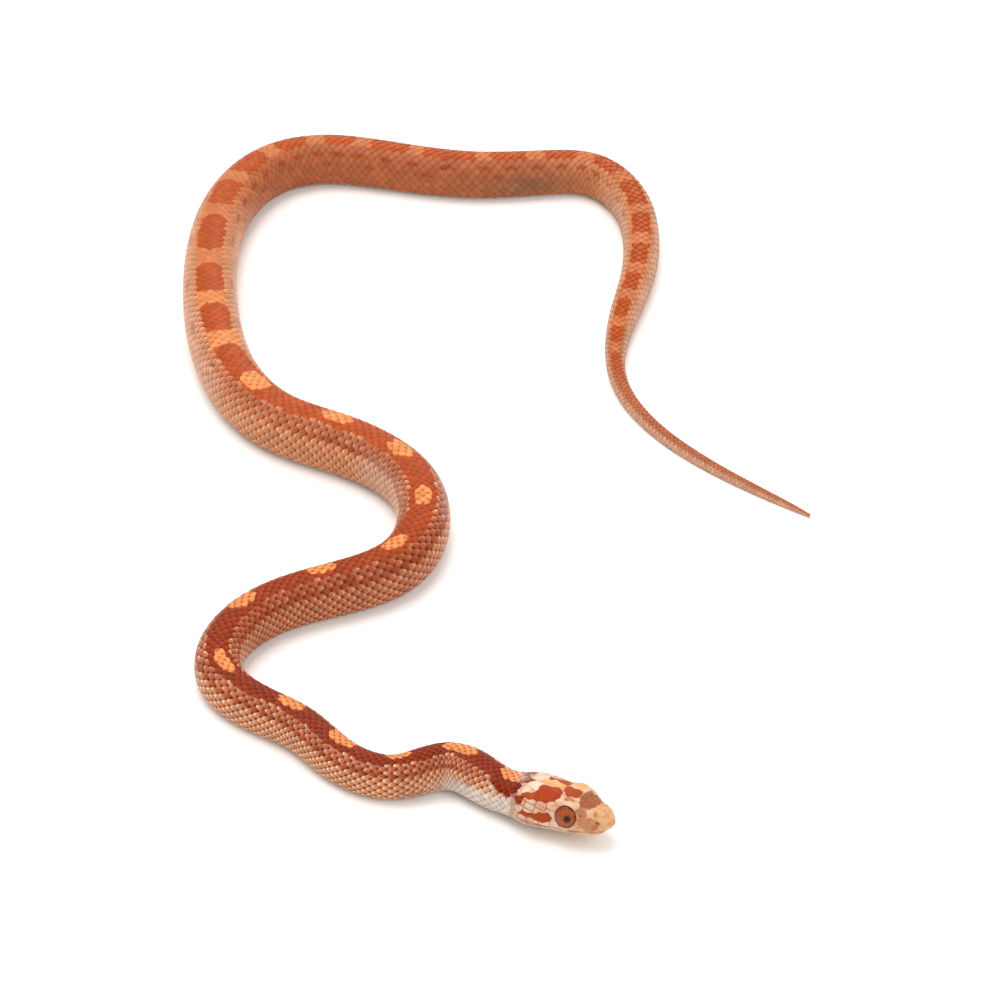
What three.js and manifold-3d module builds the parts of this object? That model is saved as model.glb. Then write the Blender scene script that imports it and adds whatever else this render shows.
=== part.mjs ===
// A young corn snake at rest, life size, in millimetres.
// +Z is up, +Y runs away from the viewer and +X to the viewer's right.
// The origin lies on the floor, under the middle of the snake's bounding box.
// The belly is flat where it meets the floor, at z = 0. The head and the neck are a little above it.

import * as THREE from 'three';
import { mergeVertices } from 'three/addons/utils/BufferGeometryUtils.js';
import Module from 'manifold-3d';

const wasm = await Module();
wasm.setup();

// Driving dimensions

const totalLength = 360;
const headLength = 15.5;
const gap = 0.3;

// The midline of the body on the floor, from the back of the head to the tip of the tail.
const route = [
  [2.7, -71.45], [1.3, -70.6], [-0.8, -68.8], [-4.6, -66.4], [-11.4, -68.0], [-18.9, -64.8],
  [-24.4, -58.5], [-30.9, -53.8], [-35.6, -47.5], [-34.9, -40.9], [-29.0, -33.8], [-21.5, -30.1],
  [-12.4, -24.9], [-8.8, -15.0], [-11.0, -5.9], [-19.6, 1.9], [-29.6, 7.7], [-36.4, 17.3],
  [-39.7, 28.7], [-41.2, 43.5], [-40.6, 56.5], [-38.5, 64.9], [-31.9, 74.0], [-25.6, 76.1],
  [-17.8, 75.2], [-2.7, 72.2], [9.0, 73.0], [15.4, 72.7], [20.6, 67.2], [22.9, 58.0], [22.2, 45.7],
  [19.4, 33.5], [19.0, 21.5], [23.3, 11.0], [31.0, 1.8], [45.2, -9.7],
];

// Widths of the body, each as [distance from the back of the head, width].
const bodyWidths = [
  [0, 5.6], [6, 6.1], [12, 5.85], [18, 5.6], [30, 5.8], [45, 6.2], [65, 6.9], [85, 7.35],
  [105, 7.65], [120, 8.2], [135, 8.2], [155, 8.1], [175, 7.8], [195, 7.5], [215, 7.15],
  [235, 6.75], [250, 6.3], [265, 5.6], [277, 5.05], [287, 4.3], [293, 3.5], [300, 2.65], [312, 2.1],
  [325, 1.75], [335, 1.35], [341, 0.95], [344.5, 0.5],
];
const heightPerWidth = 0.96;
const sideHeight = 0.44;
const bellyDrop = 1.16;
const bodySquareness = 2.25;
const neckLift = 0.55;
const neckLiftLength = 19;

// The named lengths, each ending at this distance from the back of the head.
const lengths = [
  ['neck', 18, 0xa8562f],
  ['forebody_1', 42, 0x9c4a28],
  ['forebody_2', 66, 0x9c4a28],
  ['forebody_3', 90, 0xa85530],
  ['forebody_4', 114, 0xa85530],
  ['midbody_1', 138, 0xb4602f],
  ['midbody_2', 162, 0xb4602f],
  ['midbody_3', 186, 0xba6836],
  ['midbody_4', 210, 0xba6836],
  ['hindbody_1', 236, 0xbe6c38],
  ['hindbody_2', 264, 0xbe6c38],
  ['hindbody_3', 291, 0xc07040],
  ['tail_1', 308, 0xc47444],
  ['tail_2', 326, 0xc87a4a],
  ['tail_3', 344.5, 0xcc8050],
];
const ringStep = 2.6;
const bodySides = 24;

// The head, measured back from the tip of the snout and up from the chin.
// Each row is [distance, half width, top, bottom].
const headStations = [
  [0.0, 1.8, 2.95, 0.6], [1.2, 2.2, 3.3, 0.38], [2.6, 2.6, 3.75, 0.15], [4.0, 3.05, 4.25, 0.0],
  [5.6, 3.4, 4.8, -0.1], [7.5, 3.6, 5.1, -0.22], [9.5, 3.85, 5.25, -0.3],
  [11.5, 4.1, 5.25, -0.3], [13.5, 3.5, 5.15, -0.15], [headLength, 2.85, 5.25, 0.0],
];
const crownSquareness = 2.8;
const jawSquareness = 2.5;
const headSideHeight = 0.46;
const headSides = 28;
const headRingStep = 0.8;
const noseRings = 5;
const noseRound = 1.9;
const snoutTip = new THREE.Vector3(16.4, -78.7, 1.81);
const headTurn = THREE.MathUtils.degToRad(153);
const headPitch = THREE.MathUtils.degToRad(4.4);
// The head is rolled a little, with its right side up.
const headRoll = THREE.MathUtils.degToRad(7);

// The mouth: the lip line as [distance from the snout, height], and how far the lower jaw is set back.
const lipLine = [[-1, 1.36], [1, 1.3], [4, 1.12], [7.5, 1.08], [10, 1.25], [12.2, 1.62]];
const jawSetBack = 0.45;

const eyeRadius = 1.43;
const eyeDistance = 5.8;
const eyeHeight = 2.4;
const eyeOffset = 2.2;

const nostril = { distance: 1.35, angle: 62, radius: 0.2 };

const roundSides = 20;

const shieldRise = 0.12;
const shieldSink = 0.35;
const seam = 0.09;

// Curves

// A smooth curve through rows of [x, value]: cubic, and never past a row's value.
function smoothCurve(rows, column = 1) {
  const x = rows.map((row) => row[0]);
  const y = rows.map((row) => row[column]);
  const slopes = y.slice(1).map((value, i) => (value - y[i]) / (x[i + 1] - x[i]));
  const tangents = x.map((_, i) => {
    if (i === 0 || i === x.length - 1) {
      return slopes[Math.min(i, slopes.length - 1)];
    }
    const before = slopes[i - 1];
    const after = slopes[i];
    return before * after <= 0 ? 0 : (2 * before * after) / (before + after);
  });
  return (at) => {
    const t = THREE.MathUtils.clamp(at, x[0], x[x.length - 1]);
    let i = 0;
    while (i < x.length - 2 && t > x[i + 1]) {
      i += 1;
    }
    const h = x[i + 1] - x[i];
    const u = (t - x[i]) / h;
    const rise = y[i] * (1 + 2 * u) * (1 - u) ** 2 + y[i + 1] * u * u * (3 - 2 * u);
    return rise + h * u * (1 - u) * (tangents[i] * (1 - u) - tangents[i + 1] * u);
  };
}

// The second derivatives of a natural cubic spline, by the usual three-band sweep.
function splineBends(knots, values) {
  const n = knots.length;
  const upper = new Array(n).fill(0);
  const bends = new Array(n).fill(0);
  for (let i = 1; i < n - 1; i += 1) {
    const share = (knots[i] - knots[i - 1]) / (knots[i + 1] - knots[i - 1]);
    const pivot = share * upper[i - 1] + 2;
    const right = (values[i + 1] - values[i]) / (knots[i + 1] - knots[i]);
    const left = (values[i] - values[i - 1]) / (knots[i] - knots[i - 1]);
    upper[i] = (share - 1) / pivot;
    bends[i] = ((6 * (right - left)) / (knots[i + 1] - knots[i - 1]) - share * bends[i - 1]) / pivot;
  }
  bends[n - 1] = 0;
  for (let i = n - 2; i >= 0; i -= 1) {
    bends[i] = upper[i] * bends[i + 1] + bends[i];
  }
  return bends;
}

// The route as dense points, with the distance run at each, scaled to the body's length.
function layRoute() {
  const knots = [0];
  for (let i = 1; i < route.length; i += 1) {
    knots.push(knots[i - 1] + Math.hypot(route[i][0] - route[i - 1][0], route[i][1] - route[i - 1][1]));
  }
  const coordinates = [0, 1].map((axis) => route.map((point) => point[axis]));
  const bends = coordinates.map((values) => splineBends(knots, values));
  const steps = 40;
  const points = [];
  for (let i = 0; i < knots.length - 1; i += 1) {
    const h = knots[i + 1] - knots[i];
    const last = i === knots.length - 2 ? steps : steps - 1;
    for (let k = 0; k <= last; k += 1) {
      const b = k / steps;
      const a = 1 - b;
      const [x, y] = coordinates.map((v, axis) => {
        const m = bends[axis];
        const bend = ((a ** 3 - a) * m[i] + (b ** 3 - b) * m[i + 1]) * ((h * h) / 6);
        return a * v[i] + b * v[i + 1] + bend;
      });
      points.push(new THREE.Vector2(x, y));
    }
  }
  const run = [0];
  for (let i = 1; i < points.length; i += 1) {
    run.push(run[i - 1] + points[i].distanceTo(points[i - 1]));
  }
  const scale = (totalLength - headLength) / run[run.length - 1];
  return { points, run: run.map((value) => value * scale) };
}

const laid = layRoute();

// The place and heading of the midline at a distance from the back of the head.
function midline(distance) {
  const { points, run } = laid;
  let i = 1;
  while (i < run.length - 1 && run[i] < distance) {
    i += 1;
  }
  const share = THREE.MathUtils.clamp((distance - run[i - 1]) / (run[i] - run[i - 1]), 0, 1);
  const place = points[i - 1].clone().lerp(points[i], share);
  const ahead = points[Math.min(i + 4, points.length - 1)];
  const behind = points[Math.max(i - 5, 0)];
  const heading = ahead.clone().sub(behind).normalize();
  return { place, heading };
}

// Closed surfaces

const power = (value, exponent) => Math.sign(value) * Math.abs(value) ** exponent;

// Joins rings of points into one closed surface. The rings turn the same way, and both ends are capped.
function loft(rings) {
  const sides = rings[0].length;
  const positions = rings.flat().flatMap((point) => point.toArray());
  const faces = [];
  for (let i = 0; i < rings.length - 1; i += 1) {
    for (let k = 0; k < sides; k += 1) {
      const a = i * sides + k;
      const b = i * sides + ((k + 1) % sides);
      faces.push(a, b, a + sides, b, b + sides, a + sides);
    }
  }
  [0, rings.length - 1].forEach((i) => {
    const centre = new THREE.Vector3();
    rings[i].forEach((point) => centre.addScaledVector(point, 1 / sides));
    const middle = positions.length / 3;
    positions.push(...centre.toArray());
    for (let k = 0; k < sides; k += 1) {
      const a = i * sides + k;
      const b = i * sides + ((k + 1) % sides);
      faces.push(...(i === 0 ? [middle, b, a] : [middle, a, b]));
    }
  });
  const geometry = new THREE.BufferGeometry();
  geometry.setAttribute('position', new THREE.Float32BufferAttribute(positions, 3));
  geometry.setIndex(faces);
  return geometry;
}

function toSolid(geometry) {
  const bare = geometry.clone();
  bare.deleteAttribute('normal');
  bare.deleteAttribute('uv');
  const merged = mergeVertices(bare, 1e-5);
  const vertProperties = Float32Array.from(merged.attributes.position.array);
  const triVerts = Uint32Array.from(merged.index.array);
  return new wasm.Manifold(new wasm.Mesh({ numProp: 3, vertProperties, triVerts }));
}

// Turns a solid back into a geometry, keeping only its largest closed surface.
function toGeometry(solid) {
  const bodies = solid.decompose().sort((a, b) => b.volume() - a.volume());
  const mesh = bodies[0].getMesh();
  const geometry = new THREE.BufferGeometry();
  geometry.setAttribute('position', new THREE.Float32BufferAttribute(Array.from(mesh.vertProperties), 3));
  geometry.setIndex(Array.from(mesh.triVerts));
  return geometry;
}

// The body

const widthAt = smoothCurve(bodyWidths);

// One section of the body: a loaf, wide low on its sides and flat where it lies on the floor.
function bodyRing(distance) {
  const { place, heading } = midline(distance);
  const side = new THREE.Vector2(heading.y, -heading.x);
  const halfWidth = widthAt(distance) / 2;
  const height = widthAt(distance) * heightPerWidth;
  const middle = height * sideHeight;
  const rise = THREE.MathUtils.smoothstep(distance, 0, neckLiftLength);
  const floor = neckLift * (1 - rise);
  const ring = [];
  for (let k = 0; k < bodySides; k += 1) {
    const angle = (k / bodySides) * Math.PI * 2;
    const across = halfWidth * power(Math.sin(angle), 2 / bodySquareness);
    const reach = Math.cos(angle) > 0 ? height - middle : middle * bellyDrop;
    const up = Math.max(middle + reach * power(Math.cos(angle), 2 / bodySquareness), 0);
    const point = place.clone().addScaledVector(side, across);
    ring.push(new THREE.Vector3(point.x, point.y, floor + up));
  }
  return ring;
}

function bodyLength(from, to) {
  const start = from === 0 ? gap : from + gap / 2;
  const end = to - gap / 2;
  const steps = Math.round((end - start) / ringStep);
  const rings = [];
  for (let i = 0; i <= steps; i += 1) {
    rings.push(bodyRing(start + ((end - start) * i) / steps));
  }
  return loft(rings);
}

// The head

const headHalfWidth = smoothCurve(headStations, 1);
const headTop = smoothCurve(headStations, 2);
const headBottom = smoothCurve(headStations, 3);

// A point on the skin of the head. The angle is 0 along the crown and 90 degrees on the right side.
function headPoint(distance, angle) {
  const blunt = distance < noseRound ? Math.sqrt(1 - (1 - distance / noseRound) ** 2) : 1;
  const top = headTop(distance);
  const bottom = headBottom(distance);
  const middle = bottom + (top - bottom) * headSideHeight;
  const [reach, squareness] = Math.cos(angle) > 0
    ? [top - middle, crownSquareness]
    : [middle - bottom, jawSquareness];
  const across = headHalfWidth(distance) * blunt * power(Math.sin(angle), 2 / squareness);
  const up = middle + reach * blunt * power(Math.cos(angle), 2 / squareness);
  return new THREE.Vector3(distance, across, up);
}

function headNormal(distance, angle) {
  const small = 0.02;
  const from = Math.max(distance, 2 * small);
  const along = headPoint(from + small, angle).sub(headPoint(from - small, angle));
  const around = headPoint(from, angle + small).sub(headPoint(from, angle - small));
  return around.cross(along).normalize().negate();
}

function headSolid() {
  const distances = [];
  for (let i = 0; i < noseRings; i += 1) {
    distances.push(noseRound * (1 - Math.cos((Math.PI / 2) * ((i + 0.35) / noseRings))));
  }
  const rest = headLength - gap / 2 - noseRound;
  const steps = Math.round(rest / headRingStep);
  for (let i = 0; i <= steps; i += 1) {
    distances.push(noseRound + (rest * i) / steps);
  }
  const rings = distances.map((distance) => {
    const ring = [];
    for (let k = 0; k < headSides; k += 1) {
      ring.push(headPoint(distance, -((k + 0.5) / headSides) * Math.PI * 2));
    }
    return ring;
  });
  // The back of the head stands upright, square to the neck.
  rings[rings.length - 1].forEach((point) => {
    const height = point.y * Math.sin(headRoll) + point.z * Math.cos(headRoll);
    point.x -= height * Math.tan(headPitch);
  });
  return toSolid(loft(rings));
}

// The section angle of a point that lies this far to the right of the midline, seen from above.
function angleFromAbove(distance, across) {
  const share = THREE.MathUtils.clamp(Math.abs(across) / headHalfWidth(distance), 0, 1);
  return Math.sign(across) * Math.asin(share ** (crownSquareness / 2));
}

// A plate raised on the head: its outline is drawn on the skin as [distance, angle] points.
function shield(outline) {
  const corners = outline.map(([distance, angle]) => new THREE.Vector2(distance, angle));
  if (THREE.ShapeUtils.area(corners) < 0) {
    corners.reverse();
  }
  const n = corners.length;
  const middle = new THREE.Vector2();
  corners.forEach((corner) => middle.addScaledVector(corner, 1 / n));
  const lay = (rise) => [...corners, middle].map(({ x, y }) => (
    headPoint(x, y).addScaledVector(headNormal(x, y), rise)
  ));
  const raised = lay(shieldRise);
  const sunk = lay(-shieldSink);
  const positions = [...raised, ...sunk].flatMap((point) => point.toArray());
  const faces = [];
  for (let k = 0; k < n; k += 1) {
    const next = (k + 1) % n;
    faces.push(n, k, next);
    faces.push(2 * n + 1, n + 1 + next, n + 1 + k);
    faces.push(k, n + 1 + k, next, next, n + 1 + k, n + 1 + next);
  }
  const geometry = new THREE.BufferGeometry();
  geometry.setAttribute('position', new THREE.Float32BufferAttribute(positions, 3));
  geometry.setIndex(faces);
  return toSolid(geometry);
}

// The nine large shields of the crown, drawn from above as [distance, across] on the right side.
const pairedShields = [
  [[0.95, seam], [1.9, seam], [2.05, 0.75], [1.6, 1.15], [1.05, 0.8]],
  [[2.0, seam], [3.75, seam], [3.95, 0.95], [3.6, 1.75], [2.7, 1.8], [2.2, 1.35], [2.15, 0.8]],
  [[4.05, 1.05], [3.8, 1.75], [4.4, 2.35], [5.6, 2.7], [6.8, 2.75], [7.35, 2.3], [6.9, 1.15], [5.5, 1.12]],
  [[7.75, seam], [7.15, 1.05], [7.5, 2.3], [8.6, 2.45], [10.2, 1.95], [11.6, 1.3], [11.9, 0.6], [11.5, seam]],
];
const frontalShield = [
  [3.85, 0], [4.1, 0.92], [5.5, 1.0], [6.95, 0.92], [7.6, 0], [6.95, -0.92], [5.5, -1.0], [4.1, -0.92],
];
const rostralShield = [[0.35, 0.75], [0.75, 0.7], [0.85, 0], [0.75, -0.7], [0.35, -0.75], [0.3, 0]];

// The lips: rows of scales above and below the mouth, in degrees round the section.
const upperLip = { count: 8, from: 0.8, to: 11.6, low: 108, high: 92 };
const lowerLip = { count: 8, from: 1.0, to: 10.8, low: 140, high: 122 };

function lipScales({ count, from, to, low, high }, turn) {
  const scales = [];
  const step = (to - from) / count;
  for (let i = 0; i < count; i += 1) {
    const start = from + i * step + seam;
    const end = from + (i + 1) * step - seam;
    const corners = [[start, low], [end, low], [end, high], [start, high]];
    scales.push(shield(corners.map(([d, a]) => [d, THREE.MathUtils.degToRad(a) * turn])));
  }
  return scales;
}

function crownShields() {
  const plan = (outline, turn) => shield(outline.map(([d, across]) => [d, angleFromAbove(d, across * turn)]));
  const shields = [plan(frontalShield, 1), plan(rostralShield, 1)];
  [1, -1].forEach((turn) => {
    pairedShields.forEach((outline) => shields.push(plan(outline, turn)));
  });
  return shields;
}

// A block that holds all below the lip line, as far back as the corner of the mouth.
function mouthBlock(front, raise, back) {
  const outline = new THREE.Shape();
  outline.moveTo(front, -2);
  lipLine.forEach(([distance, height], i) => {
    const end = i === lipLine.length - 1 ? back : 0;
    outline.lineTo(Math.max(distance, front) + end, height + raise);
  });
  outline.lineTo(lipLine[lipLine.length - 1][0] + back, -2);
  const width = 14;
  const block = new THREE.ExtrudeGeometry(outline, { depth: width, bevelEnabled: false, curveSegments: 1 });
  block.rotateX(Math.PI / 2);
  block.translate(0, width / 2, 0);
  return toSolid(block);
}

function ball(radius, centre) {
  const geometry = new THREE.SphereGeometry(radius, roundSides, roundSides / 2);
  geometry.translate(centre.x, centre.y, centre.z);
  return toSolid(geometry);
}

const eyeCentre = (turn) => new THREE.Vector3(eyeDistance, eyeOffset * turn, eyeHeight);

function buildHead() {
  let head = headSolid();
  crownShields().forEach((piece) => {
    head = head.add(piece);
  });
  [1, -1].forEach((turn) => {
    [...lipScales(upperLip, turn), ...lipScales(lowerLip, turn)].forEach((piece) => {
      head = head.add(piece);
    });
    const pit = headPoint(nostril.distance, THREE.MathUtils.degToRad(nostril.angle) * turn);
    head = head.subtract(ball(nostril.radius, pit));
    head = head.subtract(ball(eyeRadius + gap, eyeCentre(turn)));
  });
  const jaw = head.intersect(mouthBlock(jawSetBack, -gap / 2, -gap / 2));
  const skull = head.subtract(mouthBlock(-1.5, gap / 2, gap / 2));
  return { skull: toGeometry(skull), jaw: toGeometry(jaw) };
}

// The model

function named(name, geometry, colour, roughness) {
  const material = new THREE.MeshStandardMaterial({ color: colour, roughness, metalness: 0 });
  const mesh = new THREE.Mesh(geometry, material);
  mesh.name = name;
  return mesh;
}

const snake = new THREE.Group();
const skinRoughness = 0.45;
const eyeRoughness = 0.08;

const headFrame = new THREE.Group();
headFrame.position.copy(snoutTip);
headFrame.rotation.set(headRoll, headPitch, headTurn, 'ZYX');
snake.add(headFrame);

const { skull, jaw } = buildHead();
headFrame.add(named('head', skull, 0xd08a60, skinRoughness));
headFrame.add(named('lower_jaw', jaw, 0xe6c0a8, skinRoughness));
[['eye_right', 1], ['eye_left', -1]].forEach(([name, turn]) => {
  const eye = new THREE.SphereGeometry(eyeRadius, roundSides, roundSides / 2);
  const centre = eyeCentre(turn);
  eye.translate(centre.x, centre.y, centre.z);
  headFrame.add(named(name, toGeometry(toSolid(eye)), 0x7a3a24, eyeRoughness));
});

lengths.forEach(([name, end, colour], i) => {
  const start = i === 0 ? 0 : lengths[i - 1][1];
  snake.add(named(name, bodyLength(start, end), colour, skinRoughness));
});

export default snake;
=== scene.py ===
import math

import bpy
import numpy as np
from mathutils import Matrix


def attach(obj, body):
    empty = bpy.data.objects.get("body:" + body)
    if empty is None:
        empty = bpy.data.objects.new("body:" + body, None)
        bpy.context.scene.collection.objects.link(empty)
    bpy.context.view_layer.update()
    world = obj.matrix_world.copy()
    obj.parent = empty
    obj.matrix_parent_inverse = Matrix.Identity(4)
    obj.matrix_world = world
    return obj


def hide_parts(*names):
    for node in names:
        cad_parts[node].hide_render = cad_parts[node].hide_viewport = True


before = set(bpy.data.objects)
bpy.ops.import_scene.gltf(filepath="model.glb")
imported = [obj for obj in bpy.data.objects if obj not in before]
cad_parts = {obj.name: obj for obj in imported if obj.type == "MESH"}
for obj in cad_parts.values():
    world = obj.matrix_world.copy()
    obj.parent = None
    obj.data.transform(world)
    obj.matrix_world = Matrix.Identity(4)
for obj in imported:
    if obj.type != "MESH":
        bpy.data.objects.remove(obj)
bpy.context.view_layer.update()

bl_info = {
    "name": "Corn snake",
    "version": (1, 0, 0),
    "blender": (4, 5, 0),
    "location": "3D View > Sidebar > Corn snake",
    "description": "A young corn snake in open curves: skin, scales, belly scutes, eyes and a plain stage",
    "category": "Add Mesh",
}

MM = 0.001

# The route of the midline on the floor, from the back of the head to the tip of the tail, in millimetres.
ROUTE = np.array([
    [2.7, -71.45], [1.3, -70.6], [-0.8, -68.8], [-4.6, -66.4], [-11.4, -68.0], [-18.9, -64.8],
    [-24.4, -58.5], [-30.9, -53.8], [-35.6, -47.5], [-34.9, -40.9], [-29.0, -33.8], [-21.5, -30.1],
    [-12.4, -24.9], [-8.8, -15.0], [-11.0, -5.9], [-19.6, 1.9], [-29.6, 7.7], [-36.4, 17.3],
    [-39.7, 28.7], [-41.2, 43.5], [-40.6, 56.5], [-38.5, 64.9], [-31.9, 74.0], [-25.6, 76.1],
    [-17.8, 75.2], [-2.7, 72.2], [9.0, 73.0], [15.4, 72.7], [20.6, 67.2], [22.9, 58.0], [22.2, 45.7],
    [19.4, 33.5], [19.0, 21.5], [23.3, 11.0], [31.0, 1.8], [45.2, -9.7],
])
BODY_LENGTH = 344.5
BODY_WIDTHS = [
    [0, 5.6], [6, 6.1], [12, 5.85], [18, 5.6], [30, 5.8], [45, 6.2], [65, 6.9], [85, 7.35],
    [105, 7.65], [120, 8.2], [135, 8.2], [155, 8.1], [175, 7.8], [195, 7.5], [215, 7.15],
    [235, 6.75], [250, 6.3], [265, 5.6], [277, 5.05], [287, 4.3], [293, 3.5], [300, 2.65], [312, 2.1],
    [325, 1.75], [335, 1.35], [341, 0.95], [344.5, 0.5],
]
HEIGHT_PER_WIDTH = 0.96
SIDE_HEIGHT = 0.44
BELLY_DROP = 1.16
BODY_SQUARENESS = 2.25
NECK_LIFT = 0.55
NECK_LIFT_LENGTH = 19.0

# The head, measured back from the tip of the snout and up from the chin, in millimetres.
HEAD_LENGTH = 15.5
HEAD_STATIONS = np.array([
    [0.0, 1.8, 2.95, 0.6], [1.2, 2.2, 3.3, 0.38], [2.6, 2.6, 3.75, 0.15], [4.0, 3.05, 4.25, 0.0],
    [5.6, 3.4, 4.8, -0.1], [7.5, 3.6, 5.1, -0.22], [9.5, 3.85, 5.25, -0.3],
    [11.5, 4.1, 5.25, -0.3], [13.5, 3.5, 5.15, -0.15], [HEAD_LENGTH, 2.85, 5.25, 0.0],
])
CROWN_SQUARENESS = 2.8
JAW_SQUARENESS = 2.5
HEAD_SIDE_HEIGHT = 0.46
NOSE_ROUND = 1.9
SNOUT_TIP = np.array([16.4, -78.7, 1.81])
HEAD_TURN = math.radians(153)
HEAD_PITCH = math.radians(4.4)
HEAD_ROLL = math.radians(7)
LIP_LINE = [[-1, 1.36], [1, 1.3], [4, 1.12], [7.5, 1.08], [10, 1.25], [12.2, 1.62]]
MOUTH_CORNER = 12.2
# The right eye: the middle of its rim, the way it looks, and how far it bulges past the rim.
EYE_PLACE = np.array([5.37, 3.12, 3.12])
EYE_LOOK = np.array([-0.15, 0.95, 0.28])
EYE_RADIUS = 1.42
EYE_BULGE = 0.5
# The pupil's place on the eye's disc, back from its middle and up, and its radius, for a disc of radius 1.
PUPIL = (-0.24, -0.1, 0.3)
BROW = [[3.4, 2.75], [4.4, 2.6], [5.6, 2.45], [6.9, 2.75]]
NOSTRIL = (1.35, 62.0)

# The named lengths of the body, each ending this far behind the head.
LENGTHS = [
    ("neck", 18), ("forebody_1", 42), ("forebody_2", 66), ("forebody_3", 90), ("forebody_4", 114),
    ("midbody_1", 138), ("midbody_2", 162), ("midbody_3", 186), ("midbody_4", 210),
    ("hindbody_1", 236), ("hindbody_2", 264), ("hindbody_3", 291),
    ("tail_1", 308), ("tail_2", 326), ("tail_3", BODY_LENGTH),
]
TAIL_START = 291.0


def linear(red, green, blue):
    """A colour read as 0 to 255 on a screen, as the linear values that shaders use."""
    def one(value):
        value /= 255
        return value / 12.92 if value <= 0.04045 else ((value + 0.055) / 1.055) ** 2.4
    return one(red), one(green), one(blue)


# Curves

def smoothstep(low, high, value):
    share = np.clip((value - low) / (high - low), 0, 1)
    return share * share * (3 - 2 * share)


def power(value, exponent):
    return np.sign(value) * np.abs(value) ** exponent


def smooth_curve(rows, column=1):
    """A cubic through rows of [x, value] that never goes past a row's value."""
    rows = np.asarray(rows, float)
    x, y = rows[:, 0], rows[:, column]
    slopes = np.diff(y) / np.diff(x)
    tangents = np.concatenate([slopes[:1], np.zeros(len(x) - 2), slopes[-1:]])
    before, after = slopes[:-1], slopes[1:]
    same = before * after > 0
    tangents[1:-1][same] = 2 * before[same] * after[same] / (before + after)[same]

    def at(value):
        value = np.clip(value, x[0], x[-1])
        i = np.clip(np.searchsorted(x, value, side="right") - 1, 0, len(x) - 2)
        h = x[i + 1] - x[i]
        u = (value - x[i]) / h
        rise = y[i] * (1 + 2 * u) * (1 - u) ** 2 + y[i + 1] * u * u * (3 - 2 * u)
        return rise + h * u * (1 - u) * (tangents[i] * (1 - u) - tangents[i + 1] * u)
    return at


def lay_route():
    """The natural cubic spline through the route: places, headings and the distance run at each."""
    knots = np.concatenate([[0], np.cumsum(np.hypot(*np.diff(ROUTE, axis=0).T))])
    n = len(knots)
    h = np.diff(knots)
    bands = np.eye(n)
    right = np.zeros((n, 2))
    for i in range(1, n - 1):
        bands[i, i - 1:i + 2] = h[i - 1], 2 * (h[i - 1] + h[i]), h[i]
        right[i] = 6 * ((ROUTE[i + 1] - ROUTE[i]) / h[i] - (ROUTE[i] - ROUTE[i - 1]) / h[i - 1])
    bends = np.linalg.solve(bands, right)
    places = []
    for i in range(n - 1):
        b = (np.arange(40) / 40)[:, None]
        a = 1 - b
        bend = ((a ** 3 - a) * bends[i] + (b ** 3 - b) * bends[i + 1]) * h[i] ** 2 / 6
        places.append(a * ROUTE[i] + b * ROUTE[i + 1] + bend)
    places = np.vstack(places + [ROUTE[-1:]])
    run = np.concatenate([[0], np.cumsum(np.hypot(*np.diff(places, axis=0).T))])
    headings = np.gradient(places, axis=0)
    headings /= np.linalg.norm(headings, axis=1, keepdims=True)
    return places, headings, run * BODY_LENGTH / run[-1]


PLACES, HEADINGS, RUN = lay_route()
width_at = smooth_curve(BODY_WIDTHS)
head_half_width = smooth_curve(HEAD_STATIONS, 1)
head_top = smooth_curve(HEAD_STATIONS, 2)
head_bottom = smooth_curve(HEAD_STATIONS, 3)
lip_height = smooth_curve(LIP_LINE)


def heading_at(s):
    """The heading of the midline, x and y, at a distance behind the head."""
    return np.stack([np.interp(s, RUN, HEADINGS[:, k]) for k in (0, 1)], -1)


def loaf():
    """The body's section for a width of 1, from the spine to the middle of the belly, with its arc."""
    angle = np.linspace(0, math.pi, 2001)
    across = 0.5 * power(np.sin(angle), 2 / BODY_SQUARENESS)
    middle = HEIGHT_PER_WIDTH * SIDE_HEIGHT
    reach = np.where(np.cos(angle) > 0, HEIGHT_PER_WIDTH - middle, middle * BELLY_DROP)
    up = np.maximum(middle + reach * power(np.cos(angle), 2 / BODY_SQUARENESS), 0)
    arc = np.concatenate([[0], np.cumsum(np.hypot(np.diff(across), np.diff(up)))])
    return across, up, arc


LOAF_ACROSS, LOAF_UP, LOAF_ARC = loaf()
HALF_ROUND = LOAF_ARC[-1]
KEEL = LOAF_ARC[np.argmax(LOAF_UP <= 0)] / HALF_ROUND


def body_surface(s, f):
    """A point on the body. f runs from 0 along the spine to 1 or -1 along the middle of the belly."""
    inside = np.clip(s, 0, BODY_LENGTH)
    heading = heading_at(inside)
    x = np.interp(inside, RUN, PLACES[:, 0]) + (s - inside) * heading[..., 0]
    y = np.interp(inside, RUN, PLACES[:, 1]) + (s - inside) * heading[..., 1]
    width = width_at(inside)
    arc = np.clip(np.abs(f), 0, 1) * HALF_ROUND
    across = np.sign(f) * np.interp(arc, LOAF_ARC, LOAF_ACROSS) * width
    up = np.interp(arc, LOAF_ARC, LOAF_UP) * width
    lift = NECK_LIFT * (1 - smoothstep(0, NECK_LIFT_LENGTH, inside))
    return np.stack([x + heading[..., 1] * across, y - heading[..., 0] * across, up + lift], -1)


def head_section(x, angle):
    """Across and up on the head's skin, where angle is 0 on the crown. Positive is the right side."""
    blunt = np.where(x < NOSE_ROUND, np.sqrt(np.clip(1 - (1 - x / NOSE_ROUND) ** 2, 0, 1)), 1)
    top, bottom = head_top(x), head_bottom(x)
    middle = bottom + (top - bottom) * HEAD_SIDE_HEIGHT
    upper = np.cos(angle) > 0
    reach = np.where(upper, top - middle, middle - bottom)
    squareness = np.where(upper, CROWN_SQUARENESS, JAW_SQUARENESS)
    across = head_half_width(x) * blunt * power(np.sin(angle), 2 / squareness)
    return across, middle + reach * blunt * power(np.cos(angle), 2 / squareness)


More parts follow.
